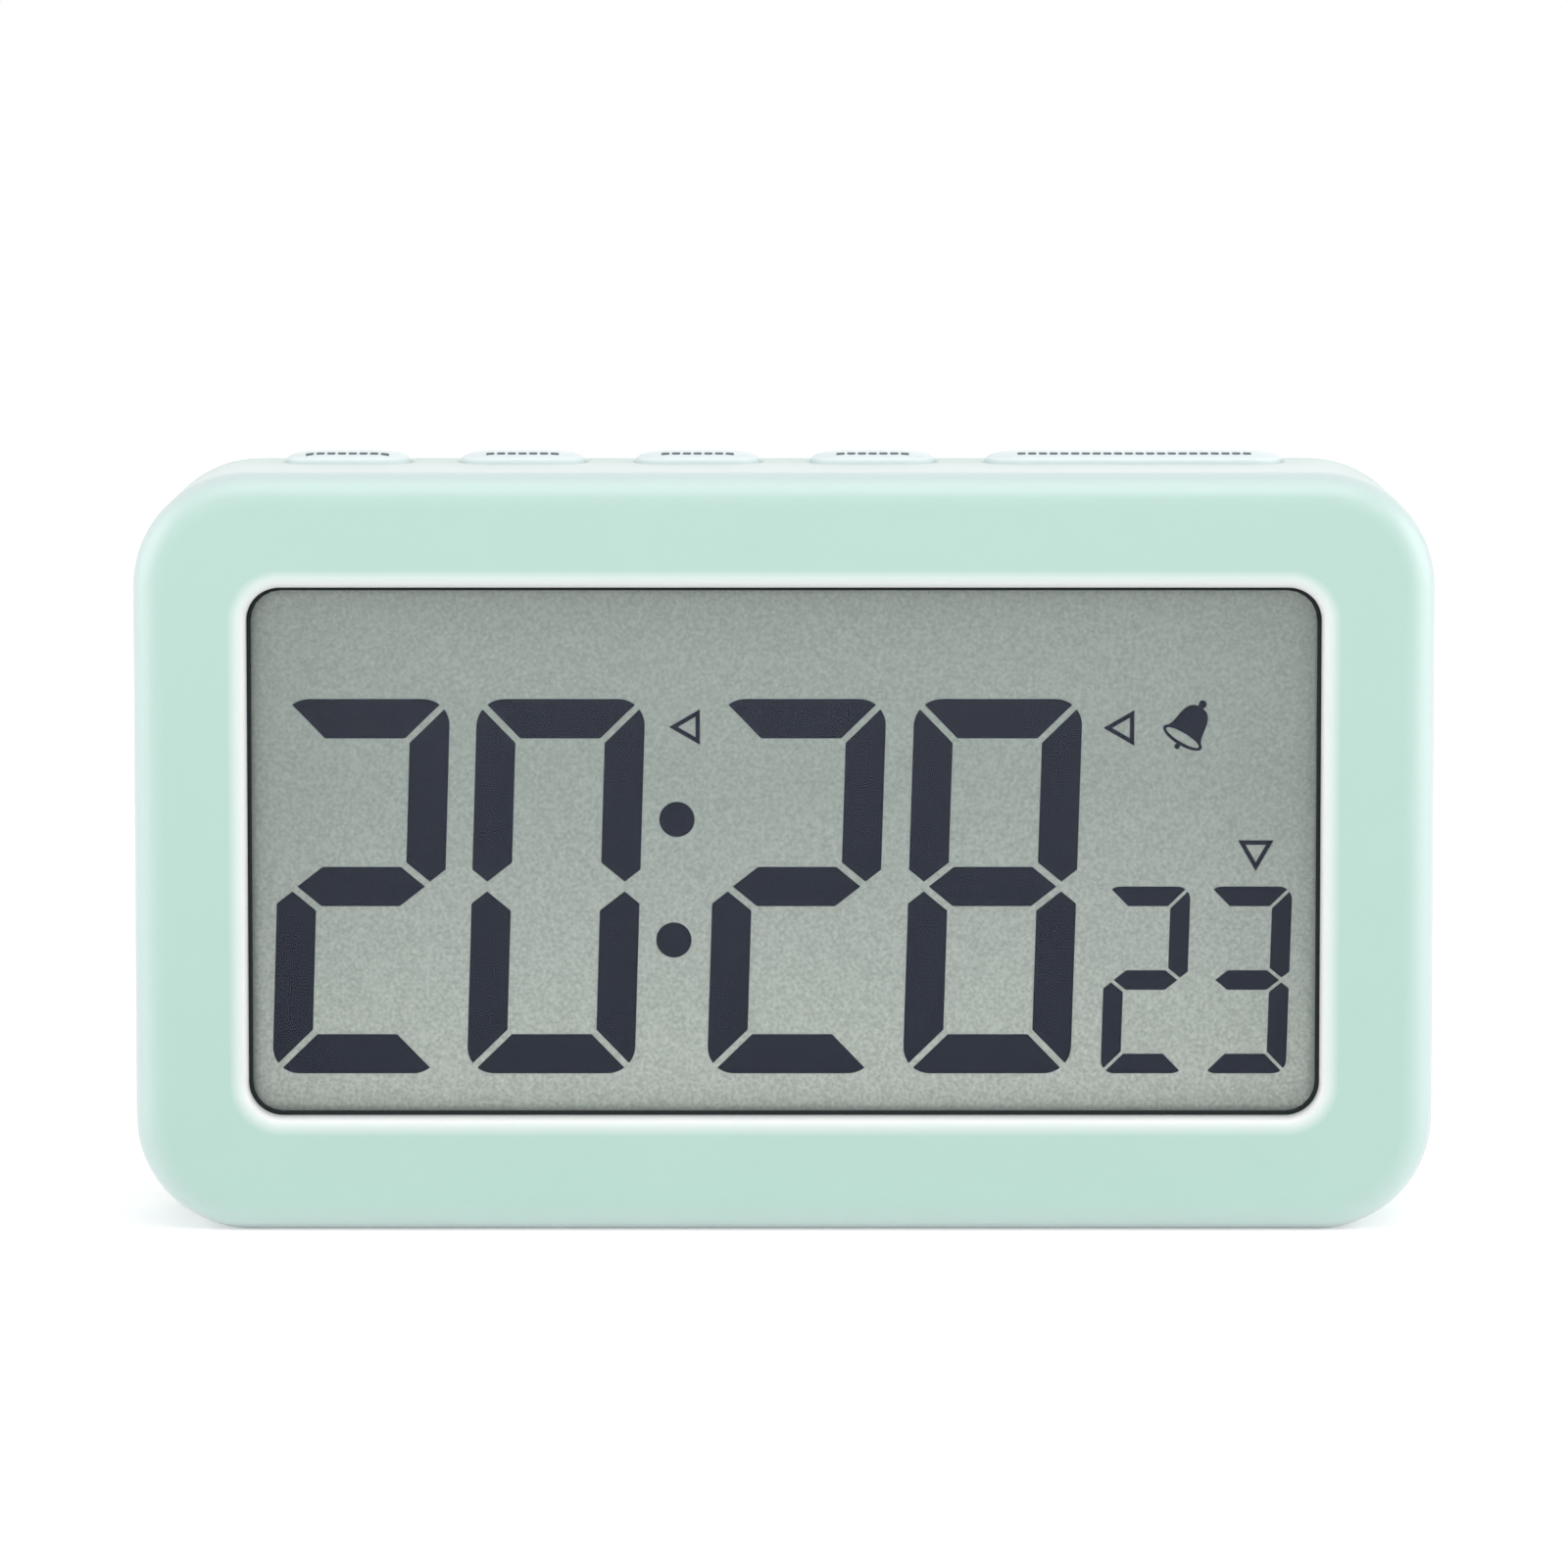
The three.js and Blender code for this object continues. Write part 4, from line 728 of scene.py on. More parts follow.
def screw_tree():
    """Domed screws with a cross recess, one at each seed point, heads towards +Y."""
    tree, given = new_tree("screws", (
        "Head Radius", "Head Height", "Dome Radius", "Shank Radius", "Shank Length", "Recess Width",
        "Recess Depth"))
    height, shank = given["Head Height"], given["Shank Length"]
    head = round_bar(tree, given["Head Radius"], height)
    ball = add_node(tree, "GeometryNodeMeshUVSphere", {
        "Segments": ROUND_STEPS, "Rings": ROUND_STEPS, "Radius": given["Dome Radius"]}).outputs["Mesh"]
    dome = solid(tree, "INTERSECT", {"Mesh 2": [
        raised(tree, head, math_node(tree, "MULTIPLY", height, 0.5)),
        raised(tree, ball, math_node(tree, "SUBTRACT", height, given["Dome Radius"]))]})
    stem = round_bar(tree, given["Shank Radius"], shank)
    stem_drop = math_node(tree, "MULTIPLY", shank, -SCREW_SHANK_DROP)
    whole = solid(tree, "UNION", {"Mesh 2": [dome, raised(tree, stem, stem_drop)]})
    recess_height = math_node(tree, "ADD", given["Recess Depth"], given["Recess Depth"])
    bar_size = vector_node(tree, given["Head Radius"], given["Recess Width"], recess_height)
    bar = add_node(tree, "GeometryNodeMeshCube", {"Size": bar_size}).outputs["Mesh"]
    cross = [raised(tree, bar, height, turn) for turn in (0.0, math.pi / 2)]
    screw = solid(tree, "DIFFERENCE", {"Mesh 1": whole, "Mesh 2": cross})
    return end_tree(tree, given, repeated(tree, given["Geometry"], screw, (-math.pi / 2, 0, 0)))


def dash_tree():
    """Row of rounded printed dashes along X, centred on each seed point."""
    tree, given = new_tree("dashes", ("Pitch", "Length", "Depth", "Round", "Thickness"), ("Count",))
    edge = add_node(tree, "GeometryNodeCurvePrimitiveQuadrilateral", {
        "Width": given["Length"], "Height": given["Depth"]})
    soft = add_node(tree, "GeometryNodeFilletCurve", {
        "Curve": edge.outputs["Curve"], "Count": DASH_CORNER_STEPS, "Radius": given["Round"]}, mode="POLY")
    flat = add_node(tree, "GeometryNodeFillCurve", {"Curve": soft.outputs["Curve"]}, mode="NGONS")
    upper = add_node(tree, "GeometryNodeExtrudeMesh", {
        "Mesh": flat.outputs["Mesh"], "Offset Scale": given["Thickness"], "Individual": False})
    base = add_node(tree, "GeometryNodeFlipFaces", {"Mesh": flat.outputs["Mesh"]})
    dash = add_node(tree, "GeometryNodeMergeByDistance", {
        "Geometry": gathered(tree, [upper.outputs["Mesh"], base.outputs["Mesh"]]), "Distance": DASH_MERGE})
    span = math_node(tree, "MULTIPLY", given["Pitch"], math_node(tree, "SUBTRACT", given["Count"], 1.0))
    row = add_node(tree, "GeometryNodeMeshLine", {
        "Count": given["Count"],
        "Start Location": vector_node(tree, x=math_node(tree, "MULTIPLY", span, -0.5)),
        "Offset": vector_node(tree, x=given["Pitch"])}, mode="OFFSET")
    dashes = repeated(tree, row.outputs["Mesh"], dash.outputs["Geometry"])
    return end_tree(tree, given, repeated(tree, given["Geometry"], dashes))


def spring_tree():
    """Tapered coil along +Z that starts at the origin."""
    tree, given = new_tree("springs", ("Turns", "Base Radius", "Tip Radius", "Length", "Wire Radius"))
    path = add_node(tree, "GeometryNodeCurveSpiral", {
        "Resolution": SPRING_STEPS, "Rotations": given["Turns"], "Start Radius": given["Base Radius"],
        "End Radius": given["Tip Radius"], "Height": given["Length"]})
    section = add_node(tree, "GeometryNodeCurvePrimitiveCircle", {
        "Resolution": WIRE_STEPS, "Radius": given["Wire Radius"]})
    wire = add_node(tree, "GeometryNodeCurveToMesh", {
        "Curve": path.outputs["Curve"], "Profile Curve": section.outputs["Curve"], "Fill Caps": True})
    return end_tree(tree, given, wire.outputs["Mesh"])


def perforation_tree():
    """Cutting rods along Z: one at the origin and a ring of them round it."""
    tree, given = new_tree("perforations", ("Ring Radius", "Hole Radius", "Depth"), ("Holes",))
    ring = add_node(tree, "GeometryNodeMeshCircle", {
        "Vertices": given["Holes"], "Radius": given["Ring Radius"]})
    centre = add_node(tree, "GeometryNodeMeshLine", {"Count": 1}, mode="OFFSET")
    spots = gathered(tree, [ring.outputs["Mesh"], centre.outputs["Mesh"]])
    rod = round_bar(tree, given["Hole Radius"], given["Depth"])
    return end_tree(tree, given, repeated(tree, spots, rod))


# Case

def case_ring(y, inset):
    outline = rounded_outline(body_width - 2 * inset, body_height - 2 * inset, CORNER_RADIUS - inset)
    return ring_y(outline, y, 0, body_height / 2)


def window_ring(y, outset):
    outline = rounded_outline(window_width + 2 * outset, window_height + 2 * outset, WINDOW_RADIUS + outset)
    return ring_y(outline, y, 0, window_z)


def mark_painted_highlights(mesh):
    """Note on each point of the shell how strongly it carries the painted highlights: the window's rim, and
    the rounded front edge with its fade along the sides.
    """
    rim = mesh.attributes.new(PAINTED_RIM_HIGHLIGHT, "FLOAT", "POINT")
    edge = mesh.attributes.new(PAINTED_EDGE_HIGHLIGHT, "FLOAT", "POINT")
    for vertex, rim_highlight_share, edge_highlight_share in zip(mesh.vertices, rim.data, edge.data):
        x, y, z = vertex.co
        over_x = max(0.0, abs(x) - window_width / 2 + WINDOW_RADIUS)
        over_z = max(0.0, abs(z - window_z) - window_height / 2 + WINDOW_RADIUS)
        away = max(0.0, math.hypot(over_x, over_z) - WINDOW_RADIUS)
        behind = y - front_y
        if away < RIM_WIDTH and behind < RIM_WIDTH:
            rim_highlight_share.value = 1 - away / RIM_WIDTH
        elif behind < FRONT_EDGE_RADIUS:
            turn = math.pi / 2 * max(0.0, behind) / FRONT_EDGE_RADIUS
            edge_highlight_share.value = math.sin(turn) ** EDGE_FADE
        else:
            along = min(1.0, (behind - FRONT_EDGE_RADIUS) / PALE_REACH)
            edge_highlight_share.value = 1 - (1 - PALE_SIDE) * along


class Key:
    """Place and size of one key, read from its node."""

    def __init__(self, name):
        low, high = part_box("key_" + name)
        self.name = name
        self.node = "key_" + name
        self.body = "button_" + name
        self.x = (low.x + high.x) / 2
        self.y = (low.y + high.y) / 2
        self.width = high.x - low.x - 2 * KEY_WING
        self.depth = high.y - low.y
        self.bottom = low.z
        self.top = high.z
        self.crown_reach = self.depth / 2 - KEY_CROWN_FLAT

    def crown_drop(self, point):
        """How far the crown has fallen below its top at a place on it."""
        past_end = max(0.0, abs(point.x - self.x) - (self.width - self.depth) / 2)
        away = max(0.0, math.hypot(past_end, point.y - self.y) - KEY_CROWN_FLAT)
        return KEY_CROWN * (1 - math.sqrt(1 - (away / self.crown_reach) ** 2))

    def ring(self, z, outset, wing=0.0):
        outline = rounded_outline(
            self.width + 2 * (outset + wing), self.depth + 2 * outset, self.depth / 2 + outset, KEY_STEPS)
        return ring_z(outline, z, self.x, self.y)


keys = [Key(name) for name in KEY_NAMES]


def make_front_shell():
    """Deep tray with a rounded front edge, a rounded window opening and five key openings."""
    rings = [
        case_ring(seam_y, SEAM_CHAMFER),
        case_ring(seam_y - SEAM_CHAMFER, 0),
        case_ring(seam_y - SEAM_CHAMFER - HOLD, 0),
        case_ring(front_y + FRONT_EDGE_RADIUS + HOLD, 0),
    ]
    rings += [case_ring(front_y + along, inset) for inset, along in reversed(edge_steps(FRONT_EDGE_RADIUS))]
    rings.append(case_ring(front_y, FRONT_EDGE_RADIUS + HOLD))
    rim_step = (RIM_WIDTH - WINDOW_EDGE_RADIUS) / RIM_STEPS
    rings += [window_ring(front_y, RIM_WIDTH - step * rim_step) for step in range(RIM_STEPS)]
    rings += [window_ring(front_y + along, outset) for outset, along in edge_steps(WINDOW_EDGE_RADIUS)]
    rings += [window_ring(wall_y, 0), case_ring(wall_y, SIDE_WALL), case_ring(seam_y, SIDE_WALL)]
    shell = loft("clock_front_shell", rings, looped=True)
    openings = []
    for key in keys:
        openings.append(loft("opening", [
            key.ring(top_z - SIDE_WALL - CUT, KEY_CLEARANCE),
            key.ring(top_z - KEY_LIP, KEY_CLEARANCE),
            key.ring(top_z + KEY_LIP, KEY_CLEARANCE + 2 * KEY_LIP),
        ]))
    combine(shell, openings, "DIFFERENCE")
    mark_painted_highlights(shell.data)
    dress(shell, mint, "case", ["front_shell"])


def make_keys():
    """Pillow-shaped keys with a shaft, side wings and a stem, and a row of dashes on each."""
    dashes = dash_tree()
    flange_top = top_z - SIDE_WALL - KEY_LASH
    for key in keys:
        side_top = key.top - KEY_CROWN
        rings = [
            key.ring(flange_top - KEY_FLANGE, 0, KEY_WING),
            key.ring(flange_top, 0, KEY_WING),
            key.ring(flange_top, 0),
            key.ring(side_top - HOLD / 2, 0),
        ]
        for step in range(KEY_STEPS + 1):
            angle = math.pi / 2 * step / KEY_STEPS
            inset = key.crown_reach * (1 - math.cos(angle))
            rings.append(key.ring(side_top + KEY_CROWN * math.sin(angle), -inset))
        cap = loft("clock_" + key.node, rings)
        stem_rings = [ring_z(circle(KEY_STEM_RADIUS), z, key.x, key.y)
                      for z in (key.bottom, flange_top - KEY_FLANGE / 2)]
        combine(cap, [loft("stem", stem_rings)], "UNION")
        dress(cap, pale_mint, key.body, [key.node], CROWN_SMOOTH_ANGLE)
        label = grown("key_dashes_" + key.name, dashes, {
            "Count": DASH_COUNTS[key.name], "Pitch": DASH_PITCH, "Length": DASH_LENGTH, "Depth": DASH_DEPTH,
            "Round": DASH_ROUND, "Thickness": DASH_THICKNESS, "Material": key_ink,
        }, [(key.x, key.y - DASH_FORWARD, key.top + DASH_RISE - DASH_THICKNESS)])
        for vertex in label.data.vertices:
            vertex.co.z -= key.crown_drop(vertex.co)
        dress(label, key_ink, key.body)


def cover_forms():
    """Blocks inside the rear cover that the battery bay, door seat and stand pocket are cut from."""
    margin = DOOR_GAP + DOOR_SEAT_MARGIN
    return [
        block("tub", (bay_low.x - BAY_WALL, bay_low.y - BAY_WALL, bay_low.z - BAY_WALL),
              (bay_high.x + BAY_WALL, rear_inner_y + TUB_ROOT, bay_high.z + BAY_WALL)),
        block("seat", (-door_half - margin, door_inner_y - DOOR_SEAT, door_bottom - margin),
              (door_half + margin, rear_inner_y + SEAT_ROOT, door_top + margin)),
        block("pocket_box", (-pocket_half - POCKET_WALL, pocket_floor_y - POCKET_FLOOR, SIDE_WALL / 2),
              (pocket_half + POCKET_WALL, rear_inner_y + POCKET_ROOT, pocket_top + POCKET_WALL)),
    ]


def bay_cutters():
    """Round troughs for the cells, the open mouth over them, and a pocket for the contacts at each end."""
    cutters = [rod_x("trough", cell_radius + CELL_CLEARANCE, bay_low.x, bay_high.x, cell_y, z)
               for z in cell_heights]
    cutters.append(block("mouth", (bay_low.x + OVERLAP, cell_y, bay_low.z),
                         (bay_high.x - OVERLAP, bay_high.y, bay_high.z)))
    for side in SIDES:
        x = side * (bay_high.x - CONTACT_POCKET / 2)
        cutters.append(block("end_pocket", (x - CONTACT_POCKET / 2, bay_low.y, bay_low.z + OVERLAP),
                             (x + CONTACT_POCKET / 2, bay_high.y, bay_high.z - OVERLAP)))
    return cutters


def door_cutters():
    """Opening for the door, the finger scoop at its latch, and room for its hooks to swing."""
    cutters = [
        plate_cutter("rebate", door_inner_y - OVERLAP, door_half + DOOR_GAP, door_bottom - DOOR_GAP,
                     door_top + DOOR_GAP, DOOR_CORNER + DOOR_GAP),
        round_cutter("scoop", LATCH_SCOOP_RADIUS, LATCH_SCOOP_DEPTH, 0, door_top),
    ]
    reach = HOOK_WIDTH / 2 + DOOR_GAP
    for x in hook_places:
        cutters.append(block("hook_room", (x - reach, rear_y - HOOK_SWEEP, door_low.z - DOOR_GAP),
                             (x + reach, door_inner_y, bay_low.z + OVERLAP)))
    return cutters


def stand_cutters():
    """Pocket for the folded stand, a finger notch below it, and holes for its pins."""
    reach = stand_high.x + STAND_CLEARANCE
    return [
        plate_cutter("pocket", pocket_floor_y, pocket_half, pocket_bottom, pocket_top, STAND_CLEARANCE),
        block("notch", (-NOTCH_WIDTH / 2, pocket_floor_y + OVERLAP, -CUT),
              (NOTCH_WIDTH / 2, rear_y + CUT, pocket_bottom + CUT)),
        rod_x("pin_hole", STAND_PIN_RADIUS + STAND_PIN_CLEARANCE, -reach, reach, hinge_y, hinge_z),
    ]


def screw_cutters():
    """Deep round holes for the heads of the case screws."""
    cutters = []
    for screw in CASE_SCREWS:
        low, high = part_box(screw)
        radius = (high.z - low.z) / 2 + SCREW_HOLE_CLEARANCE
        cutters.append(round_cutter("head_hole", radius, SCREW_SINK, middle(screw).x, middle(screw).z))
    return cutters


def sound_cutter():
    """Rods for the sound holes, set through the rear wall behind the sounder."""
    cutter = grown("sound_cutter", perforation_tree(), {
        "Holes": SOUND_HOLES, "Ring Radius": SOUND_HOLE_RING, "Hole Radius": SOUND_HOLE_RADIUS,
        "Depth": SOUND_CUT_DEPTH, "Material": mint})
    sounder = middle("buzzer_plate")
    spot = Matrix.Translation((sounder.x, rear_y, sounder.z))
    cutter.data.transform(spot @ Matrix.Rotation(math.pi / 2, 4, "X"))
    return cutter


def make_rear_cover():
    """Shallow lid with the battery bay, door seat, stand pocket, screw holes and sound holes."""
    rings = [case_ring(cover_y, SEAM_CHAMFER), case_ring(cover_y + SEAM_CHAMFER, 0)]
    rings += [case_ring(rear_y - along, inset) for inset, along in reversed(edge_steps(REAR_EDGE_RADIUS))]
    rings.append(case_ring(rear_y, REAR_EDGE_RADIUS + HOLD))
    cover = loft("clock_rear_cover", rings)
    hollow = loft("hollow", [case_ring(cover_y - CUT, SIDE_WALL), case_ring(rear_inner_y, SIDE_WALL)])
    combine(cover, [hollow], "DIFFERENCE")
    combine(cover, cover_forms(), "UNION")
    combine(cover, bay_cutters() + door_cutters() + stand_cutters() + screw_cutters(), "DIFFERENCE")
    combine(cover, [sound_cutter()], "DIFFERENCE")
    dress(cover, mint, "case", ["rear_cover"])


def make_door():
    """Battery door: a plate with a softened edge, two hooks below and a latch tongue between slits."""
    def ring(y, inset):
        outline = rounded_outline(
            2 * (door_half - inset), door_top - door_bottom - 2 * inset, DOOR_CORNER - inset)
        return ring_y(outline, y, 0, (door_bottom + door_top) / 2)

    rings = [ring(door_inner_y, 0), ring(rear_y - DOOR_EDGE - HOLD, 0)]
    rings += [ring(rear_y - along, inset) for inset, along in reversed(edge_steps(DOOR_EDGE))]
    rings.append(ring(rear_y, DOOR_EDGE + HOLD))
    door = loft("clock_battery_door", rings)
    root_y = door_inner_y + OVERLAP
    toe_outer = rear_inner_y - HOOK_CLEARANCE
    toe_inner = toe_outer - HOOK_THICKNESS
    hook_low = door_bottom + HOOK_CLEARANCE
    hook_high = hook_low + HOOK_THICKNESS
    profile = [
        Vector((root_y, hook_low)),
        Vector((toe_outer, hook_low)),
        Vector((toe_outer, door_bottom - HOOK_TOE)),
        Vector((toe_inner, door_bottom - HOOK_TOE)),
        Vector((toe_inner, hook_high)),
        Vector((root_y, hook_high)),
    ]
    hooks = [loft("hook", [ring_x(profile, x + side * HOOK_WIDTH / 2) for side in SIDES])
             for x in hook_places]
    combine(door, hooks, "UNION")
    slits = []
    for side in SIDES:
        x = side * (LATCH_WIDTH + LATCH_SLIT) / 2
        slits.append(block("slit", (x - LATCH_SLIT / 2, door_inner_y - CUT, door_top - LATCH_LENGTH),
                           (x + LATCH_SLIT / 2, rear_y + CUT, door_top + CUT)))
    combine(door, slits, "DIFFERENCE")
    dress(door, mint, "door", ["battery_door"])


def make_stand():
    """Folding stand: a leaf with softened edges that hangs from a barrel with a pin at each end."""
    height = hinge_z - stand_low.z

    def ring(y, inset):
        outline = rounded_outline(
            2 * (stand_half - inset), height - 2 * inset, STAND_TOP_CORNER, low_radius=STAND_CORNER - inset)
        return ring_y(outline, y, 0, (stand_low.z + hinge_z) / 2)

    rings = [ring(stand_low.y + along, inset) for inset, along in edge_steps(STAND_EDGE)]
    rings += [ring(stand_high.y - along, inset) for inset, along in reversed(edge_steps(STAND_EDGE))]
    rings.append(ring(stand_high.y, STAND_EDGE + HOLD))
    leaf = loft("clock_folding_stand", rings)
    barrel = rod_x("barrel", stand_thickness / 2, -stand_half, stand_half, hinge_y, hinge_z)
    pins = rod_x("pins", STAND_PIN_RADIUS, stand_low.x, stand_high.x, hinge_y, hinge_z)
    combine(leaf, [barrel, pins], "UNION")
    dress(leaf, mint, "stand", ["folding_stand"])


def make_screws():
    """The four case screws, deep in their holes."""
    low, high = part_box(CASE_SCREWS[0])
    head_y = high.y - SCREW_HEAD_HEIGHT
    spots = [(middle(screw).x, head_y, middle(screw).z) for screw in CASE_SCREWS]
    screws = grown("case_screws", screw_tree(), {
        "Head Radius": (high.z - low.z) / 2, "Head Height": SCREW_HEAD_HEIGHT,
        "Dome Radius": SCREW_DOME_RADIUS, "Shank Radius": SCREW_SHANK_RADIUS,
        "Shank Length": head_y - low.y, "Recess Width": SCREW_RECESS_WIDTH,
        "Recess Depth": SCREW_RECESS_DEPTH, "Material": steel}, spots)
    dress(screws, steel, "case", CASE_SCREWS)


# Display

def segment_outlines():
    """Outlines of the seven segments of a digit, from its lower left corner, before the slant."""
    width, height, stroke = DIGIT_WIDTH, DIGIT_HEIGHT, DIGIT_STROKE
    mitre = DIGIT_GAP / math.sqrt(2)
    corner = Vector((width - DIGIT_CORNER, height - DIGIT_CORNER))
    meet = math.acos(-mitre / (DIGIT_CORNER * math.sqrt(2))) - math.pi / 4
    inner = stroke - DIGIT_TIP_INSET

    def arc(start, end):
        angles = [start + (end - start) * step / ARC_STEPS for step in range(ARC_STEPS + 1)]
        return [corner + polar(DIGIT_CORNER, angle) for angle in angles]

    def flipped(outline, over_x, over_z):
        return [Vector((width - point.x if over_x else point.x, height - point.y if over_z else point.y))
                for point in outline]

    right_end = arc(math.pi / 2, meet) + [Vector((width - mitre - stroke, height - stroke))]
    top = right_end + flipped(reversed(right_end), True, False)
    tip_z = height / 2 + DIGIT_TIP_GAP
    upper_right = arc(math.pi / 2 - meet, 0) + [
        Vector((width, tip_z + DIGIT_TIP_INSET * DIGIT_TIP_SLOPE)),
        Vector((width - DIGIT_TIP_INSET, tip_z)),
        Vector((width - stroke, tip_z + inner * DIGIT_TIP_SLOPE)),
        Vector((width - stroke, height - stroke - mitre)),
    ]
    tip = DIGIT_TIP_INSET + DIGIT_TIP_GAP
    flat = tip + stroke / 2 / DIGIT_TIP_SLOPE
    crossbar = [
        Vector((tip, height / 2)),
        Vector((flat, (height - stroke) / 2)),
        Vector((width - flat, (height - stroke) / 2)),
        Vector((width - tip, height / 2)),
        Vector((width - flat, (height + stroke) / 2)),
        Vector((flat, (height + stroke) / 2)),
    ]
    return {
        "a": top,
        "b": upper_right,
        "c": flipped(upper_right, False, True),
        "d": flipped(top, False, True),
        "e": flipped(upper_right, True, True),
        "f": flipped(upper_right, True, False),
        "g": crossbar,
    }


def mark(outline, place, scale=1.0, slant=0.0, deep=0.0):
    """Thin printed mark on the front of the display glass, from an outline in its own plane.

    A depth of its own makes it a cutter for other marks."""
    points = []
    for point in outline:
        flat = scale * point
        x = place[0] + flat.x + flat.y * math.tan(slant)
        points.append(Vector((x, place[1] + flat.y + window_z)))
    root_y = glass_y + MARK_ROOT + deep
    face_y = glass_y - MARK_THICKNESS - deep
    return loft("mark", [ring_y(points, root_y), ring_y(points, face_y)])


def make_digits():
    """Lit segments of the large and the small digits, and the colon."""
    outlines = segment_outlines()
    marks = []
    for digits, scale in ((BIG_DIGITS, BIG_DIGIT_SCALE), (SMALL_DIGITS, SMALL_DIGIT_SCALE)):
        for digit, left in digits:
            for letter in SEGMENTS[digit]:
                marks.append(mark(outlines[letter], (left, DIGIT_BOTTOM), scale, DIGIT_SLANT))
    marks += [mark(circle(COLON_RADIUS), dot) for dot in COLON_DOTS]
    dress(join("display_digits", marks), display_ink, "case")


def bell_outline():
    """Half of a bell's side from its mouth up, mirrored to the full outline."""
    side = []
    for step in range(BELL_STEPS + 1):
        share = step / BELL_STEPS
        flare = BELL_FLARE * math.exp(-BELL_FLARE_FALL * share)
        dome = (1 - BELL_FLARE) * math.sqrt(max(0.0, 1 - share ** BELL_DOME_POWER))
        side.append(Vector((BELL_MOUTH_HALF * (flare + dome), BELL_HEIGHT * share)))
    return side + [Vector((-point.x, point.y)) for point in reversed(side[:-1])]


def make_bell():
    """Tilted alarm bell with a hollow mouth, a knob and a clapper."""
    tilt = Matrix.Rotation(-BELL_TILT, 2)

    def tilted(outline, rise=0.0, deep=0.0):
        points = [tilt @ (point + Vector((0, rise))) for point in outline]
        return mark(points, BELL_MOUTH, deep=deep)

    bell = tilted(bell_outline())
    combine(bell, [
        tilted(ellipse(BELL_MOUTH_HALF, BELL_MOUTH_RISE)),
        tilted(circle(BELL_KNOB_RADIUS), BELL_KNOB_HEIGHT),
        tilted(circle(BELL_CLAPPER_RADIUS), -BELL_CLAPPER_DROP),
    ], "UNION")
    gap = ellipse(BELL_MOUTH_HALF - BELL_LINE, BELL_MOUTH_RISE - BELL_LINE)
    combine(bell, [tilted(gap, deep=CUT)], "DIFFERENCE")
    return bell


def make_signs():
    """Hollow pointers beside the digits, and an alarm bell."""
    signs = [make_bell()]
    for place, direction in POINTERS:
        pointer = mark(polygon(POINTER_RADIUS, POINTER_CORNERS, direction), place)
        inside = polygon(POINTER_RADIUS - 2 * POINTER_LINE, POINTER_CORNERS, direction)
        combine(pointer, [mark(inside, place, deep=CUT)], "DIFFERENCE")
        signs.append(pointer)
    dress(join("display_signs", signs), display_ink, "case")


# Battery bay

def make_cells():
    """Two dry cells with a plain jacket and bare metal ends."""
    for name, direction in CELL_DIRECTIONS.items():
        node = "battery_" + name
        low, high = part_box(node)
        axis = middle(node)
        radius = (high.z - low.z) / 2
        length = high.x - low.x
        start = low.x if direction > 0 else high.x
        profile = [(along, share * radius) for along, share in CELL_BASE]
        profile += [(length - short, share * radius) for short, share in CELL_SHOULDER]
        profile += [(length - short, nub_radius) for short, nub_radius in CELL_NUB]
        cell = loft("dry_cell_" + name, [
            ring_x(circle(ring_radius), start + direction * along, axis.y, axis.z)
            for along, ring_radius in profile])
        dress(cell, cell_jacket, "case", [node])
        cell.data.materials.append(steel)
        for face in cell.data.polygons:
            along = abs(face.center.x - start)
            bare = along < CELL_BARE_BASE or along > length - CELL_BARE_SHOULDER
            face.material_index = 1 if bare else 0


def make_contacts():
    """Negative and bridge contacts: thin plates with a tapered coil spring."""
    springs = spring_tree()
    for node, cell, side in SPRING_CONTACTS:
        low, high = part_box(node)
        axis = middle(cell)
        inner_x = side * (bay_half - CONTACT_THICKNESS - CONTACT_GAP)
        outer_x = inner_x + side * CONTACT_THICKNESS
        plate = block("plate", (min(inner_x, outer_x), axis.y - CONTACT_SIZE / 2, low.z),
                      (max(inner_x, outer_x), axis.y + CONTACT_SIZE / 2, high.z))
        coil = grown("coil", springs, {
            "Turns": SPRING_TURNS, "Base Radius": SPRING_BASE_RADIUS, "Tip Radius": SPRING_TIP_RADIUS,
            "Length": SPRING_LENGTH - 2 * SPRING_WIRE_RADIUS, "Wire Radius": SPRING_WIRE_RADIUS,
            "Material": steel})
        spot = Matrix.Translation((inner_x - side * SPRING_WIRE_RADIUS / 2, axis.y, axis.z))
        coil.data.transform(spot @ Matrix.Rotation(-side * math.pi / 2, 4, "Y"))
        dress(join("clock_" + node, [plate, coil]), steel, "case", [node])


make_front_shell()
make_keys()
make_rear_cover()
make_door()
make_stand()
make_screws()
make_digits()
make_signs()
make_cells()
make_contacts()

# Finishes of the nodes that keep their own solids
NODE_FINISHES = (
    (black_foam, ("window_tape",)),
    (clear_window, ("display_window",)),
    (display_face, ("display_front_glass", "display_rear_glass")),
    (silver_film, ("display_reflector",)),
    (white_plastic, ("display_holder", *["switch_plunger_" + name for name in KEY_NAMES])),
    (dark_rubber, ("contact_strip",)),
    (green_board, ("main_board", "key_board")),
    (black_resin, ("chip_blob", "capacitor", "board_header",
                   *["switch_body_" + name for name in KEY_NAMES])),
    (steel, ("quartz_crystal", "contact_positive", *BOARD_SCREWS, *KEY_BOARD_SCREWS)),
    (brass, ("buzzer_plate",)),
    (ceramic, ("buzzer_ceramic",)),
    (red_lead, ("battery_lead_red", "buzzer_lead_red")),
    (black_lead, ("battery_lead_black", "buzzer_lead_black")),
)
for material, finished_nodes in NODE_FINISHES:
    for node in finished_nodes:
        paint(nodes[node], material)

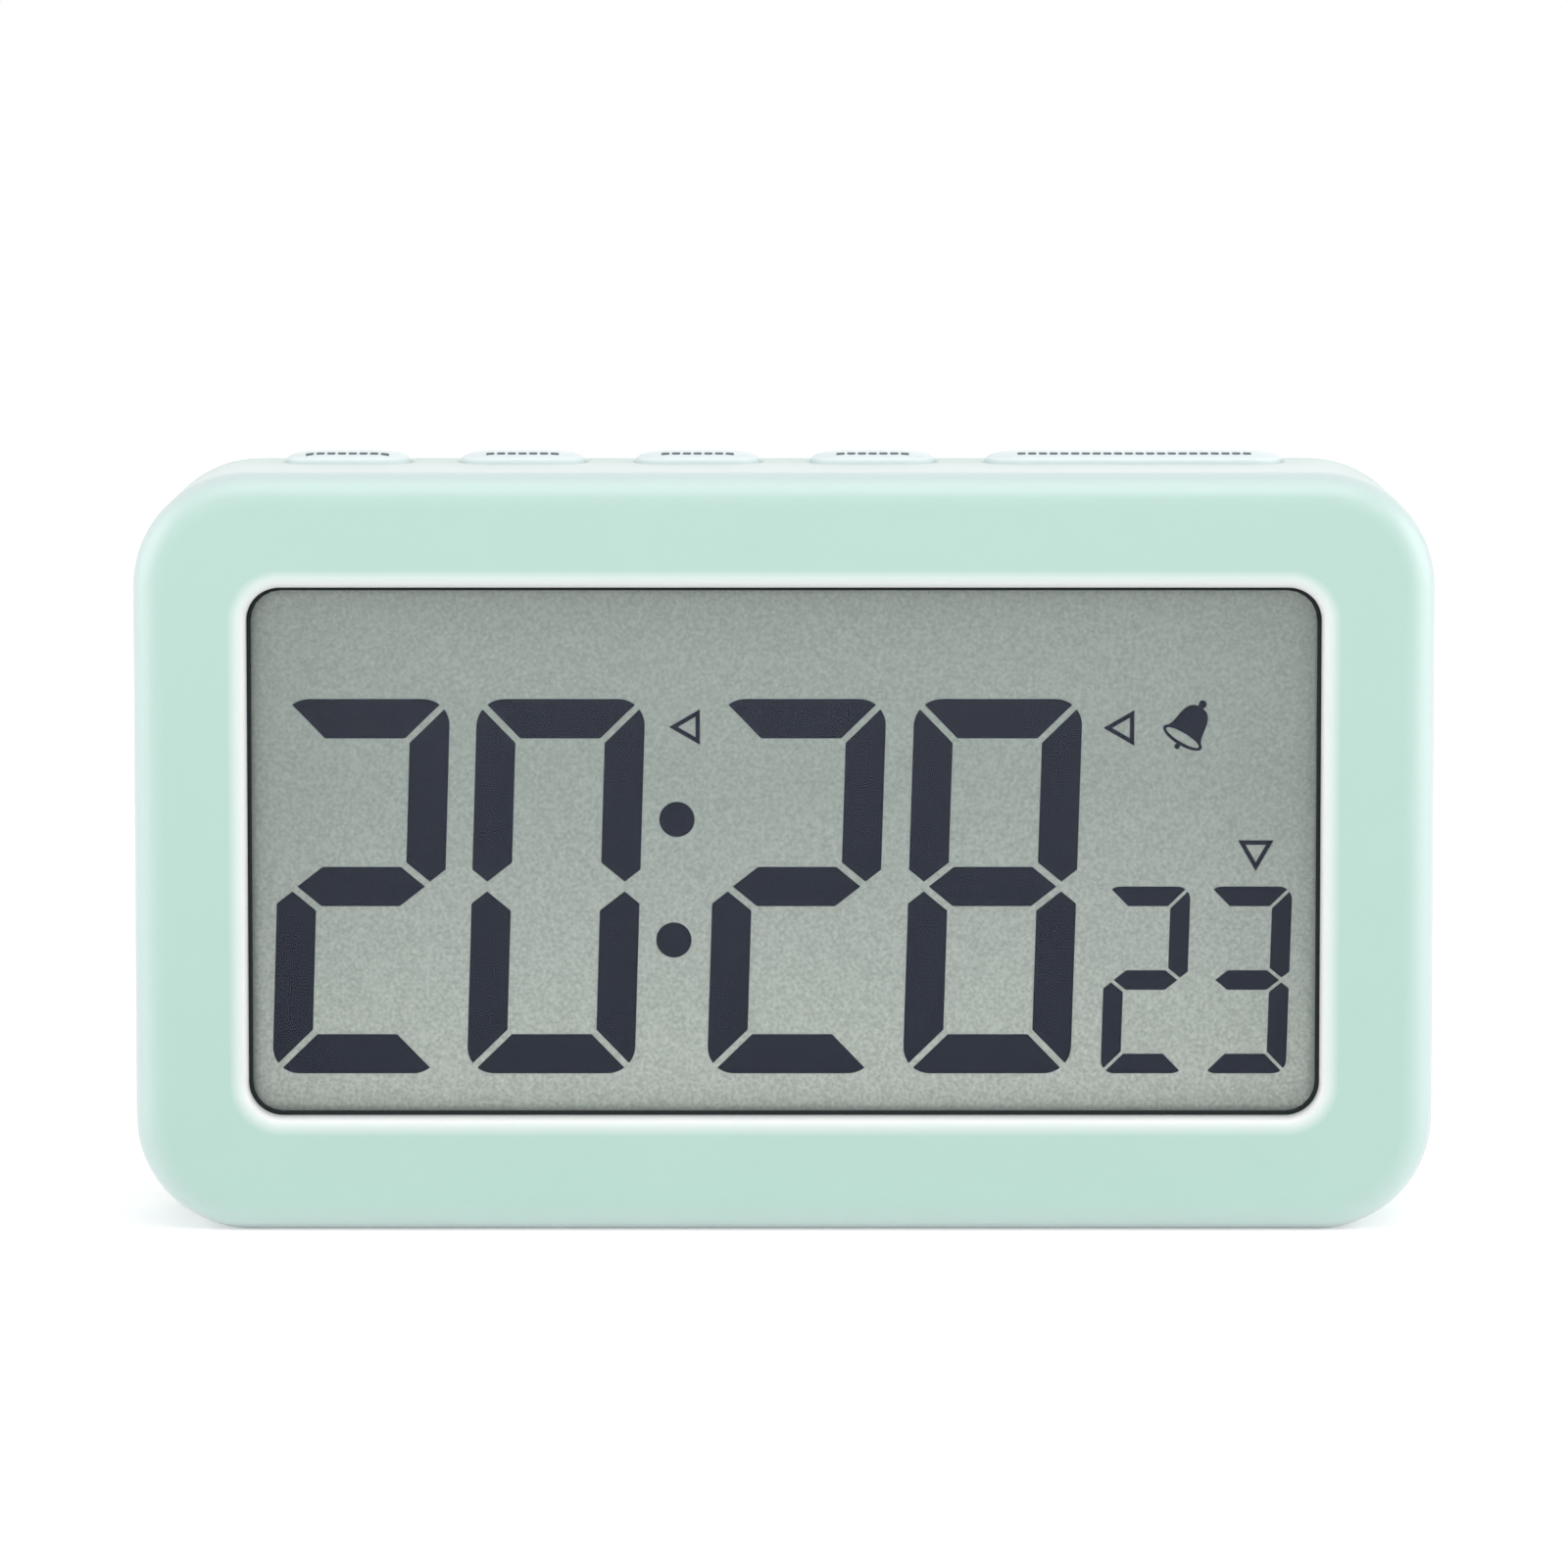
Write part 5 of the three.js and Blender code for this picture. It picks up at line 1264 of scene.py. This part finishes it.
# Floor, light and camera
FLOOR_HALF = 6.0
FLOOR_COLOUR = (0.9, 0.9, 0.9, 1)
GLOW_NEAR = 0.4
GLOW_FAR = 0.82
GLOW_START = 0.12
GLOW_END = 0.9
WORLD_LIGHT = 0.28
NO_BOUNCE = 0.5
CAMERA_ELEVATION = math.radians(5.6)
CAMERA_DISTANCE = 0.735
CAMERA_LENS = 200.1
CAMERA_SENSOR = 36
CAMERA_SIGHT = 20
CAMERA_TARGET = Vector((0, front_y, 38.2 * MM))
LAMP_TARGET = Vector((0, 0, body_height / 2))

# Each lamp's place, width and power, and whether glossy faces mirror it
LAMPS = {
    "key_lamp": ((0.2, -0.6, 0.9), 0.6, 1.0, True),
    "low_lamp": ((-0.1, -0.85, 0.06), 0.5, 2.8, False),
    "left_lamp": ((-0.85, -0.15, 0.25), 0.9, 3.2, True),
    "right_lamp": ((0.85, -0.1, 0.2), 0.9, 4.4, True),
    "top_lamp": ((0.0, -0.35, 0.85), 0.9, 2.2, True),
    "back_lamp": ((0.2, 0.9, 0.4), 0.6, 2.3, False),
}


def seen_directly(tree):
    """One for rays that reach the eye straight, mirrored or through the window, and nought for light."""
    ray = add_node(tree, "ShaderNodeLightPath").outputs
    mirrored = math_node(tree, "MAXIMUM", ray["Is Camera Ray"], ray["Is Glossy Ray"])
    seen = math_node(tree, "MAXIMUM", mirrored, ray["Is Transmission Ray"])
    first = math_node(tree, "LESS_THAN", ray["Diffuse Depth"], NO_BOUNCE)
    return math_node(tree, "MULTIPLY", seen, first)


def make_floor():
    """Pale floor that shows white to the camera and keeps the shadow."""
    corners = [(x * FLOOR_HALF, y * FLOOR_HALF, 0) for x, y in ((-1, -1), (1, -1), (1, 1), (-1, 1))]
    mesh = bpy.data.meshes.new("floor")
    mesh.from_pydata(corners, [], [(0, 1, 2, 3)])
    floor = new_object("floor", mesh)
    material = bpy.data.materials.new("floor_white")
    tree = empty_tree(material)
    matte = add_node(tree, "ShaderNodeBsdfDiffuse", {"Color": FLOOR_COLOUR}).outputs["BSDF"]
    distance = add_node(tree, "ShaderNodeVectorMath", {0: object_place(tree)}, operation="LENGTH")
    strength = mapped(tree, distance.outputs["Value"], GLOW_NEAR, GLOW_FAR, GLOW_START, GLOW_END)
    glow = add_node(tree, "ShaderNodeEmission", {"Color": WHITE, "Strength": strength}).outputs["Emission"]
    lit = add_node(tree, "ShaderNodeAddShader", {0: matte, 1: glow}).outputs["Shader"]
    end_material(tree, mixed_shader(tree, seen_directly(tree), matte, lit))
    paint(floor, material)


def make_world():
    """Even studio surround: white where it is seen, softer where it lights."""
    world = bpy.data.worlds.new("studio")
    tree = empty_tree(world)
    strength = mapped(tree, seen_directly(tree), WORLD_LIGHT, 1.0)
    light = add_node(tree, "ShaderNodeBackground", {"Color": WHITE, "Strength": strength})
    add_node(tree, "ShaderNodeOutputWorld", {"Surface": light.outputs["Background"]})
    bpy.context.scene.world = world


def point_at(thing, place, target):
    thing.location = place
    thing.rotation_euler = (target - place).to_track_quat("-Z", "Y").to_euler()


def make_lamps():
    """Soft round lamps, hidden from rays through the window, which already lets their light in."""
    for name, (place, width, power, mirrored) in LAMPS.items():
        lamp = bpy.data.lights.new(name, "AREA")
        lamp.shape = "DISK"
        lamp.size = width
        lamp.energy = power
        holder = new_object(name, lamp)
        holder.visible_transmission = False
        holder.visible_glossy = mirrored
        point_at(holder, Vector(place), LAMP_TARGET)


def make_camera():
    """Long lens a little above the middle of the front."""
    camera = bpy.data.cameras.new("camera")
    camera.lens = CAMERA_LENS
    camera.sensor_width = CAMERA_SENSOR
    camera.clip_end = CAMERA_SIGHT
    holder = new_object("camera", camera)
    back = Vector((0, -math.cos(CAMERA_ELEVATION), math.sin(CAMERA_ELEVATION)))
    point_at(holder, CAMERA_TARGET + CAMERA_DISTANCE * back, CAMERA_TARGET)
    bpy.context.scene.camera = holder


make_floor()
make_world()
make_lamps()
make_camera()
bpy.context.scene.view_settings.view_transform = "Standard"
